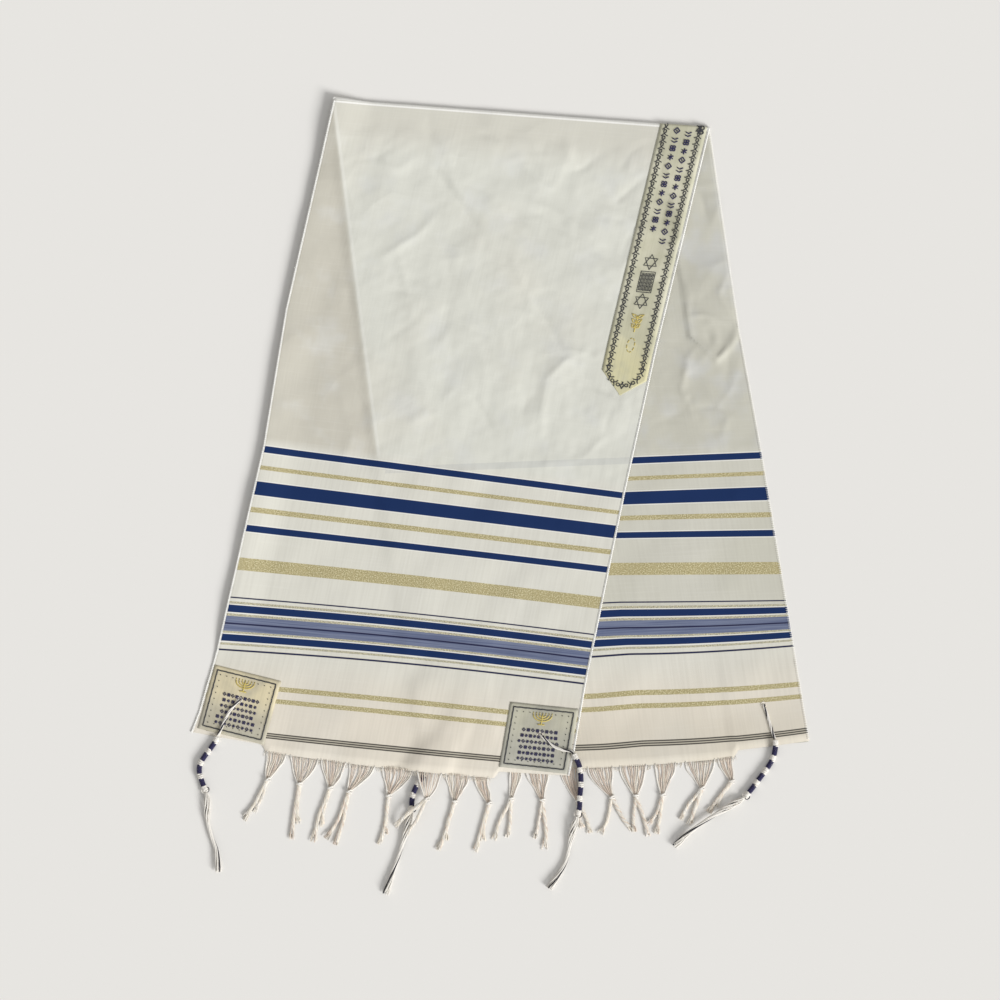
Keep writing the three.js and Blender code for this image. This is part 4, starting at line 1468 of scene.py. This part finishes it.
@dataclass
class CornerPatch:
    """A square satin patch on a corner of the cloth."""

    name: str
    middle: tuple[float, float]
    slope: float
    lean: float
    satin: bpy.types.Material
    hole: tuple[float, float]
    on_top: bool
    margin: float = 6.0

    def plan(self, across: Array, down: Array) -> tuple[Array, Array]:
        """Finds places of the patch on the floor plan.

        Args:
            across: Millimetres from its middle, to the right.
            down: Millimetres from its middle, to the hem.

        Returns:
            The x and y of each place.
        """
        slope, lean = math.radians(self.slope), math.radians(self.lean)
        x = self.middle[0] + across * math.cos(slope) + down * math.sin(lean)
        y = self.middle[1] + across * math.sin(slope) - down * math.cos(lean)
        return x, y

    def surface(self, across: Array, down: Array, lift: Array) -> Array:
        """Finds points over the patch's outer face.

        Args:
            across: Millimetres from its middle, to the right.
            down: Millimetres from its middle, to the hem.
            lift: How far over the face.

        Returns:
            The points.
        """
        x, y = self.plan(across, down)
        if self.on_top:
            z = LIE.front_top(x, y) + 0.25 + TRIM_THICK + lift
        else:
            z = 0.65 - lift + np.zeros(np.shape(x))
        return np.stack([x, y, z], axis=-1)

    def build_satin(self) -> bpy.types.Object:
        """Builds the satin square."""
        part = np.linspace(-0.5, 0.5, 26)
        across, down = np.meshgrid(part * PATCH_WIDTH, part * PATCH_HEIGHT)
        flat = np.stack([across, -down], axis=-1) * MM
        square = make_shell(f"{self.name}_satin", self.surface(across, down, 0.0),
                            self.surface(across, down, -TRIM_THICK), flat)
        square.data.materials.append(self.satin)
        attach(square, "satin", f"patch_{self.name}")
        return square

    def border(self, stitches: Stitches) -> None:
        """Adds the stitched frame and the line of dots inside it.

        Args:
            stitches: What they are added to.
        """
        w, h = PATCH_WIDTH / 2 - self.margin, PATCH_HEIGHT / 2 - self.margin
        corners = [(-w, -h), (w, -h), (w, h), (-w, h), (-w, -h)]
        wavy = []
        for (x0, y0), (x1, y1) in zip(corners[:-1], corners[1:]):
            for k in range(16):
                part, push = k / 16, 0.4 * (k % 2)
                wavy.append((x0 + (x1 - x0) * part + push, y0 + (y1 - y0) * part + push))
        stitches.line([*wavy, corners[0]], 0.85)
        dots = 8
        for k in range(dots + 1):
            part = 2 * k / dots - 1
            x, y = part * (w - 6), part * (h - 6)
            for side in (-1, 1):
                stitches.line([(x - 0.6, side * (h - 6)), (x + 0.6, side * (h - 6))], 0.6)
                stitches.line([(side * (w - 6), y - 0.6), (side * (w - 6), y + 0.6)], 0.6)

    def branches(self, stitches: Stitches) -> None:
        """Adds the gold branched lamp: nested arcs on a stem.

        Args:
            stitches: What they are added to.
        """
        top = -PATCH_HEIGHT / 2 + 14
        for reach in (4.5, 9.0, 13.5):
            stitches.oval((0, top), 2 * reach, 1.35 * reach, 0.85, 1, 0, 180)
        stitches.line([(0, top - 1), (0, top + 14)], 0.85, 1)
        stitches.line([(-5, top + 14), (5, top + 14)], 0.85, 1)
        for k in range(-3, 4):
            stitches.line([(k * 4.5, top - 1), (k * 4.5, top - 3.4)], 0.6, 1)

    def ornament_rows(self, stitches: Stitches) -> None:
        """Adds rows of small plain figures, a different one in each row.

        Args:
            stitches: What they are added to.
        """
        draw = random.Random(len(self.name))
        for row in range(6):
            down = -10 + row * 8.4
            reach = draw.uniform(23, 31)
            count = int(2 * reach // 6)
            for k in range(count):
                at = -reach + (k + 0.5) * 2 * reach / count
                draw_figure(stitches, (0, 2, 3)[(row + k % 2) % 3], at, down, 2.4, 0.55, 2)

    def build_embroidery(self) -> bpy.types.Object:
        """Builds the patch's stitches as one piece."""
        stitches = Stitches()
        self.border(stitches)
        if self.on_top:
            self.branches(stitches)
            self.ornament_rows(stitches)
        threads = Threads(f"{self.name}_embroidery")
        stitches.lay(threads, self.surface)
        piece = threads.build([DARK, GOLD, NAVY])
        attach(piece, "satin")
        return piece


# ------------------------------------------------------------------ fringe

@dataclass(frozen=True)
class FringeTassel:
    """A knotted tassel of the fringe: the hem that it is drawn from, its knot and its two strands."""

    start: float
    stop: float
    drift: float
    strands: tuple[tuple[float, float], tuple[float, float]]
    drop: float = 38.0
    lift: float = 0.0


FRONT_FRINGE = (
    FringeTassel(-338, -308, -13, ((-38, 60), (-22, 50))),
    FringeTassel(-304, -262, -7, ((-12, 84), (-2, 62))),
    FringeTassel(-260, -221, -5, ((-25, 82), (-13, 60))),
    FringeTassel(-219, -180, -19, ((-36, 71), (-22, 80))),
    FringeTassel(-171, -125, -13, ((-15, 74), (-5, 60))),
    FringeTassel(-121, -83, -4, ((-48, 43), (-36, 56)), lift=9.2),
    FringeTassel(-80, -43, -4, ((-25, 74), (-14, 60))),
    FringeTassel(-38, -16, 11, ((-21, 74), (-9, 58))),
)
BACK_FRINGE = (
    FringeTassel(15, 31, -7, ((-26, 64), (-6, 60)), drop=43),
    FringeTassel(36, 72, 7, ((-11, 60), (3, 76)), drop=45),
    FringeTassel(86, 113, 13, ((18, 50), (8, 42)), drop=47),
    FringeTassel(125, 164, 17, ((32, 52), (-18, 57)), drop=43),
    FringeTassel(171, 213, 4, ((-2, 56), (18, 63)), drop=43),
    FringeTassel(222, 254, -3, ((-23, 46), (-10, 60)), drop=45),
    FringeTassel(267, 312, 2, ((-33, 48), (-20, 56)), drop=40),
    FringeTassel(315, 336, 9, ((-36, 48), (-24, 40)), drop=33),
)


@dataclass
class Fringe:
    """The knotted warp ends along one hem."""

    leaf: Leaf
    tassels: tuple[FringeTassel, ...]
    seed: int
    threads_drawn: int = 14
    threads_each: int = 12
    thread: float = 0.72
    knot_width: float = 6.8
    knot_height: float = 4.4
    loose_threads: int = 190

    def hem_point(self, x: float) -> Array:
        """Finds a point in the middle of the cloth's wall at the hem.

        Args:
            x: Its first place.

        Returns:
            The point.
        """
        row = self.leaf.rows[-1]
        share = (x - row.left[0]) / (row.right[0] - row.left[0])
        run = self.leaf.hem if self.leaf.side is LeafSide.FRONT else -FOLD_ARC - self.leaf.hem
        return LIE.face(np.array(run), np.array(share), -CLOTH_THICK / 2)

    def strand(self, threads: Threads, knot: Array, end: Array, lift: float, draw: random.Random) -> None:
        """Adds one thick loose strand of threads that comes apart at its end.

        Args:
            threads: The piece that it becomes part of.
            knot: Where it starts.
            end: Where it ends.
            lift: How far it is held off the floor.
            draw: The seeded draw.
        """
        sway = np.array([draw.uniform(-5, 5), draw.uniform(-3, 3), 0.0])
        middle = knot * 0.45 + end * 0.55 + sway
        middle[2] = max(lift + 2.4, 2.4)
        near = knot * 0.8 + end * 0.2 + sway * 0.3
        near[2] = max(lift + 2.6, 2.8)
        line = smooth_route([knot, near, middle, end], 4.0)
        _, _, cross = travelling_frame(line)
        side = cross * [1, 1, 0]
        side /= np.maximum(np.linalg.norm(side, axis=1, keepdims=True), 1e-6)
        part = np.linspace(0, 1, len(line))
        turns = draw.uniform(2.5, 4.0)
        for k in range(self.threads_each):
            stop = max(4, int(len(line) * draw.uniform(0.86, 1.0)))
            phase = 2 * math.pi * k / self.threads_each
            spread = draw.uniform(1.4, 2.9) + draw.uniform(0.2, 3.6) * ramp(part, 0.68, 1.0)
            angle = phase + turns * 2 * np.pi * np.minimum(part, 0.8)
            offset = spread[:, None] * np.cos(angle)[:, None] * side
            path = line + offset
            height = line[:, 2] + np.minimum(spread, 1.35) * np.sin(angle)
            path[:, 2] = np.maximum(height, self.thread + 0.15)
            radius = self.thread * draw.uniform(0.85, 1.1)
            threads.add(path[:stop], radius, 4, draw.choice((0, 0, 0, 1, 1, 2)))

    def knot(self, threads: Threads, centre: Array, turn: float) -> None:
        """Adds the knot: two fat turns of the threads round the gathered bunch.

        Args:
            threads: The piece that it becomes part of.
            centre: Its middle.
            turn: Its angle on the floor plan.
        """
        for tilt, shift in ((0.35, 0.9), (-0.35, -0.9)):
            angle = np.linspace(0, 2 * np.pi * 1.15, 16)
            across = self.knot_width / 2 * np.cos(angle)
            ring = np.stack([across, shift + tilt * across, self.knot_height / 2 * np.sin(angle)], axis=1)
            c, s = math.cos(turn), math.sin(turn)
            spun = ring @ np.array([[c, s, 0], [-s, c, 0], [0, 0, 1]])
            threads.add(centre + spun, 1.35, 6, 1)

    def frayed_hem(self, threads: Threads, draw: random.Random) -> None:
        """Adds the short loose threads between the tassels.

        Args:
            threads: The piece that they become part of.
            draw: The seeded draw.
        """
        first, last = self.tassels[0].start - 4, self.tassels[-1].stop + 4
        for _ in range(self.loose_threads):
            start = self.hem_point(draw.uniform(first, last)) + [0, 1.0, 0]
            end = start + [draw.uniform(-3, 3), -draw.uniform(4, 9), 0]
            middle = (start + end) / 2 + [draw.uniform(-1, 1), 0, 0]
            end[2] = max(end[2] - 0.5, 0.5)
            threads.add(np.array([start, middle, end]), 0.3, 3)

    def build(self) -> bpy.types.Object:
        """Builds the fringe of this hem as one piece."""
        side = self.leaf.side.value
        draw = random.Random(self.seed)
        threads = Threads(f"fringe_{side}_threads")
        for tassel in self.tassels:
            left, right = self.hem_point(tassel.start), self.hem_point(tassel.stop)
            knot = (left + right) / 2 + [tassel.drift, -tassel.drop, 0]
            knot[2] = max(tassel.lift * 0.75 + 2.4, 3.6)
            for k in range(self.threads_drawn):
                part = (k + draw.uniform(0.2, 0.8)) / self.threads_drawn
                start = left + (right - left) * part + [0, 1.5, 0]
                end = knot + [(part - 0.5) * 4.6, 0, draw.uniform(-0.9, 0.9)]
                bends = []
                for down, pull in ((0.3, 0.16), (0.62, 0.5)):
                    bend = start * (1 - down) + end * down
                    bend[0] = start[0] * (1 - pull) + end[0] * pull + draw.uniform(-1.7, 1.7)
                    bend[2] = max(tassel.lift + draw.uniform(0.5, 1.6), 0.9)
                    bends.append(bend)
                outer = k in (0, self.threads_drawn - 1)
                radius = 1.05 if outer else self.thread * draw.uniform(0.7, 0.95)
                slot = 1 if outer else draw.choice((0, 2, 2))
                threads.add(smooth_route([start, *bends, end], 4.5), radius, 4, slot)
            self.knot(threads, knot, draw.uniform(-0.3, 0.3))
            for lean, reach in tassel.strands:
                end = knot + [lean, -reach, 0]
                end[2] = 1.9
                self.strand(threads, knot, end, tassel.lift, draw)
        self.frayed_hem(threads, draw)
        piece = threads.build([CREAM, WHITE, ROSE])
        attach(piece, "fringe", *(f"fringe_{side}_{k + 1}" for k in range(len(self.tassels))))
        return piece


# ------------------------------------------------------------------ corner tassels

class Wrap(Enum):
    """What covers a stretch of a corner tassel's winding."""

    NAVY = "navy"
    KNOT = "knot"


WRAPS = (Wrap.KNOT, Wrap.NAVY, Wrap.KNOT, Wrap.NAVY, Wrap.KNOT, Wrap.NAVY, Wrap.KNOT, Wrap.NAVY, Wrap.KNOT)


@dataclass
class CornerTassel:
    """A corner tassel: a loop through the eyelet, wound knots and a loose tail."""

    name: str
    loop: list
    winding: list
    tail: list
    seed: int
    loop_diameter: float = 3.0
    winding_diameter: float = 8.0
    tail_diameter: float = 6.0
    strands: int = 8

    def bundle(self, threads: Threads, line: Array, radius: Array, thread: float, count: int,
               turns: float, stops: Sequence[int], black: int) -> None:
        """Adds strands that run side by side round a line.

        Args:
            threads: The piece that they become part of.
            line: The bundle's centreline.
            radius: How far from the line the strands run, at each point.
            thread: Radius of each strand.
            count: How many strands there are.
            turns: How often they turn round each other.
            stops: How many points of the line each strand follows.
            black: Which strand is black.
        """
        _, first, second = travelling_frame(line)
        part = np.linspace(0, 1, len(line))
        for k in range(count):
            angle = (2 * math.pi * k / count + turns * 2 * np.pi * part)[:, None]
            path = line + radius[:, None] * (np.cos(angle) * first + np.sin(angle) * second)
            path[:, 2] = np.maximum(path[:, 2], thread + 0.12)
            threads.add(path[:stops[k]], thread, 6, 1 if k == black else 0)

    def declare(self, threads: Threads, materials: list,
                slot: str, part: str) -> bpy.types.Object:
        """Args:
            threads: Its threads.
            materials: Its materials.
            slot: Passed on to attach.
            part: The last word of its node's name.

        Returns:
            The piece.
        """
        piece = threads.build(materials)
        attach(piece, slot, f"tzitzit_{self.name}_{part}")
        return piece

    def build_loop(self) -> bpy.types.Object:
        """Builds the strands from the eyelet over the hem."""
        line = smooth_route(self.loop, 1.8)
        threads = Threads(f"{self.name}_loop_strands")
        stops = [len(line)] * 4
        self.bundle(threads, line, np.full(len(line), 1.25), 0.9, 4, 1.5, stops, 0)
        return self.declare(threads, [WHITE, BLACK], "tassel_white", "loop")

    def coil(self, threads: Threads, line: Array, radius: float, thread: float, pitch: float,
             slot: int) -> None:
        """Adds a thread wound round a stretch of the line.

        Args:
            threads: The piece that it becomes part of.
            line: The stretch.
            radius: From the line to the thread's middle.
            thread: Radius of the thread.
            pitch: Distance between its turns.
            slot: Which of the piece's materials it has.
        """
        turns = max(1.0, length_of(line) / pitch)
        fine = np.linspace(0, 1, max(10, int(turns * 11)))
        part = np.linspace(0, 1, len(line))
        centre = np.stack([np.interp(fine, part, line[:, k]) for k in range(3)], axis=1)
        _, first, second = travelling_frame(centre)
        angle = (turns * 2 * np.pi * fine)[:, None]
        path = centre + radius * (np.cos(angle) * first + np.sin(angle) * second)
        path[:, 2] = np.maximum(path[:, 2], thread + 0.1)
        threads.add(path, thread, 5, slot)

    def bow(self, threads: Threads, line: Array) -> None:
        """Adds the small loops that stick out beside the last knot.

        Args:
            threads: The piece that they become part of.
            line: The winding's centreline.
        """
        _, first, second = travelling_frame(line)
        for side, slot in ((1, 0), (-1, 2)):
            root = line[-4]
            back = line[-4] - line[-1]
            back /= np.linalg.norm(back)
            out = side * (second[-4] if abs(second[-4][2]) < abs(first[-4][2]) else first[-4])
            ring = [root, root + 4.2 * out + 2.0 * back, root + 5.6 * out - 1.0 * back,
                    root + 3.2 * out - 4.5 * back, line[-1]]
            threads.add(smooth_route(ring, 1.2), 0.85, 6, slot)

    def build_winding(self) -> bpy.types.Object:
        """Builds the core, its navy windings and its white double knots."""
        line = smooth_route(self.winding, 1.0)
        threads = Threads(f"{self.name}_winding_wraps")
        threads.add(line, 2.9, 8, 0)
        weights = np.array([0.62 if wrap is Wrap.KNOT else 1.0 for wrap in WRAPS])
        shares = np.concatenate([[0], np.cumsum(weights)]) / weights.sum()
        bounds = np.round(shares * (len(line) - 1)).astype(int)
        for wrap, low, high in zip(WRAPS, bounds[:-1], bounds[1:]):
            stretch = line[low:high + 1]
            if wrap is Wrap.NAVY:
                self.coil(threads, stretch, 3.3, 0.7, 1.35, 1)
            else:
                self.coil(threads, stretch, 3.1, 1.3, 2.8, 0)
                self.coil(threads, stretch[::-1], 3.4, 1.1, 3.6, 0)
        self.bow(threads, line)
        materials = [WHITE, NAVY, BLACK]
        return self.declare(threads, materials, "tassel_navy", "winding")

    def build_tail(self) -> bpy.types.Object:
        """Builds the loose strands, parted at their ends."""
        draw = random.Random(self.seed)
        line = smooth_route(self.tail, 3.0)
        threads = Threads(f"{self.name}_tail_strands")
        part = np.linspace(0, 1, len(line))
        radius = 1.9 + 2.2 * ramp(part, 0, 0.1) * (1 - ramp(part, 0.22, 0.42)) + 2.0 * ramp(part, 0.6, 1)
        threads.add(line, 1.0, 6)
        stops = [len(line) - (draw.randrange(4) if k % 2 else 0) for k in range(self.strands - 1)]
        self.bundle(threads, line, radius, 1.0, self.strands - 1, draw.uniform(0.6, 1.1), stops, 2)
        return self.declare(threads, [WHITE, BLACK], "tassel_white", "tail")


CORNER_TASSELS = (
    CornerTassel(
        "front_left",
        [(-377, -320, 0.4), (-377, -320, 2.6), (-380, -323.5, 4.2), (-390, -335, 4.2), (-398, -350, 4.1),
         (-404, -364, 4.1), (-408, -372.5, 4.1)],
        [(-409, -374.5, 4.2), (-411.5, -380, 4.2), (-419, -391, 4.2), (-428, -403, 4.2), (-434, -415, 4.2),
         (-434, -427, 4.2), (-430, -439, 4.2), (-425, -452, 4.2)],
        [(-424.7, -452.8, 4), (-423, -470, 3.6), (-423, -489, 3.4), (-418, -513, 3.4), (-410, -536, 3.4),
         (-406, -568, 3.4)],
        seed=1,
    ),
    CornerTassel(
        "front_right",
        [(58, -370, 2.2), (58, -370, 4.4), (60.5, -372.5, 6), (67, -378.5, 6), (76, -386, 6), (90, -392, 6),
         (103, -394.5, 6), (106.5, -397.5, 6)],
        [(107, -398.5, 6.8), (110, -405, 6.8), (114, -413, 6.8), (116, -423, 6.8), (117, -436, 6.8),
         (116.5, -448, 6.8), (115, -461, 6.8), (115, -474, 6.8), (112, -487, 6.8)],
        [(111.8, -487.7, 6.4), (108, -500, 6), (103, -516, 4), (94, -555, 3.4), (71, -592, 3.4)],
        seed=2,
    ),
    CornerTassel(
        "back_right",
        [(381, -327, 0.4), (381, -327, 2.6), (382, -330, 4.2), (386, -340, 4.2), (389.5, -352, 4.2),
         (394, -367, 4.2), (397.4, -376.5, 5.4)],
        [(398, -378.5, 7), (398, -386, 7), (397.5, -391, 6.5), (396, -399, 4.7), (391, -411, 4.3),
         (382, -424, 4.3), (373, -436, 4.3), (364, -448, 4.3), (354, -460, 4.3)],
        [(352.6, -461.2, 4.3), (336, -471, 5.4), (315, -483, 6.8), (297, -494, 6.8), (271, -513, 6.4),
         (252, -532, 3.6)],
        seed=3,
    ),
    CornerTassel(
        "back_left",
        [(-60, -358, 0.4), (-60, -358, 2.6), (-62, -361, 4.1), (-68, -371, 4.1), (-77, -385, 4.1),
         (-85, -397, 4.1), (-92, -407, 4.2)],
        [(-93, -408.5, 4.2), (-99, -416, 4.2), (-108, -427, 4.2), (-116, -437, 4.2), (-122, -447, 4.2),
         (-126, -458, 4.2), (-127.5, -470, 4.2), (-127, -480, 4.2)],
        [(-127.3, -481.6, 4), (-131, -493, 3.6), (-136, -511, 3.4), (-144, -538, 3.4), (-150, -555, 3.4),
         (-157, -575, 3.4), (-165, -600, 3.4)],
        seed=4,
    ),
)
PATCHES = (
    CornerPatch("front_left", (-377, -327), -14, -15, LEFT_SATIN, (-377, -320), True),
    CornerPatch("front_right", (56, -375), -6, -10, RIGHT_SATIN, (58, -370), True),
    CornerPatch("back_left", (-61, -361), -4, 9, LEFT_SATIN, (-60, -358), False),
    CornerPatch("back_right", (389, -338), 5, 9, RIGHT_SATIN, (381, -327), False),
)


@dataclass
class Eyelets:
    """The small stitched rings round the four holes."""

    ring: float = 3.6
    thread: float = 0.9

    def build(self) -> bpy.types.Object:
        """Builds the rings, shaped from one torus each, as one piece."""
        bpy.ops.object.select_all(action="DESELECT")
        rings = []
        for patch in PATCHES:
            x, y = patch.hole
            if patch.on_top:
                top = float(LIE.front_top(np.array(x), np.array(y))) + 0.25 + TRIM_THICK
            else:
                along, share = BACK.find(np.array(x), np.array(y))
                top = float(LIE.back_bottom(along, share)) + CLOTH_THICK
            bpy.ops.mesh.primitive_torus_add(
                location=place_in_frame(np.array([x, y, top])).tolist(), major_segments=28, minor_segments=8,
                major_radius=self.ring * MM, minor_radius=self.thread * MM)
            ring = bpy.context.active_object
            bpy.ops.object.mode_set(mode="EDIT")
            bpy.ops.transform.resize(value=(1.0, 1.08, 0.6))
            bpy.ops.object.mode_set(mode="OBJECT")
            rings.append(ring)
        for ring in rings:
            ring.select_set(True)
        bpy.ops.object.join()
        piece = bpy.context.active_object
        piece.name = "eyelet_rings"
        bpy.ops.object.transform_apply(location=True, rotation=True, scale=True)
        bpy.ops.object.shade_smooth()
        piece.data.uv_layers[0].name = "cloth_map"
        piece.data.materials.append(CREAM)
        attach(piece, "fringe")
        return piece


# ------------------------------------------------------------------ the studio

@dataclass
class Studio:
    """A pale floor, soft light from the right and a camera almost overhead."""

    distance: float = 6.0
    seen_width: float = 1.45
    elevation: float = 87.5
    aim: tuple[float, float] = (0.0, -30.5)

    def add_camera(self) -> None:
        """Makes the scene's camera."""
        camera = bpy.data.cameras.new("camera")
        camera.sensor_width = 36.0
        camera.lens = camera.sensor_width * self.distance / self.seen_width
        camera.clip_end = 50.0
        holder = bpy.data.objects.new("camera", camera)
        target = place_in_frame(np.array([*self.aim, 0.0]))
        lean = math.radians(self.elevation)
        holder.location = target + self.distance * np.array([0.0, -math.cos(lean), math.sin(lean)])
        holder.rotation_euler = (math.pi / 2 - lean, 0.0, 0.0)
        bpy.context.scene.collection.objects.link(holder)
        bpy.context.scene.camera = holder

    def add_light(self) -> None:
        """Makes an even sky and one large soft light."""
        world = bpy.data.worlds.new("even_sky")
        world.use_nodes = True
        world.node_tree.nodes["Background"].inputs["Color"].default_value = (1.0, 1.0, 1.0, 1.0)
        world.node_tree.nodes["Background"].inputs["Strength"].default_value = 0.5
        bpy.context.scene.world = world
        light = bpy.data.lights.new("soft_key", "SUN")
        light.energy = 3.14
        light.angle = math.radians(24)
        holder = bpy.data.objects.new("soft_key", light)
        holder.rotation_euler = (0.0, math.radians(60), math.radians(-40))
        bpy.context.scene.collection.objects.link(holder)
        bpy.context.scene.view_settings.view_transform = "Standard"

    def add_floor(self) -> None:
        """Makes the pale floor."""
        bpy.ops.object.select_all(action="DESELECT")
        bpy.ops.mesh.primitive_plane_add(size=8.0, location=(0.0, 0.0, 0.0))
        floor = bpy.context.active_object
        floor.name = "floor"
        material, _, shader = start_material("pale_floor")
        shader.inputs["Base Color"].default_value = (*tone("#E7E5E1"), 1.0)
        shader.inputs["Roughness"].default_value = 0.95
        shader.inputs["Specular IOR Level"].default_value = 0.1
        floor.data.materials.append(material)


def main() -> None:
    """Builds the shawl, its trimmings and the studio."""
    logging.basicConfig(level=logging.INFO, format="%(name)s: %(message)s")
    studio = Studio()
    studio.add_camera()
    for tassel in CORNER_TASSELS:
        tassel.build_loop()
        tassel.build_winding()
        tassel.build_tail()
    sheet = Shawl().build()
    edges = EdgeStitching().build()
    band = Neckband()
    trims = [edges, band.build_strip(), band.build_embroidery()]
    for patch in PATCHES:
        trims += [patch.build_satin(), patch.build_embroidery()]
    trims += [Fringe(FRONT, FRONT_FRINGE, 21).build(), Fringe(BACK, BACK_FRINGE, 22).build()]
    trims.append(Eyelets().build())
    studio.add_light()
    studio.add_floor()


if __name__ == "__main__":
    main()
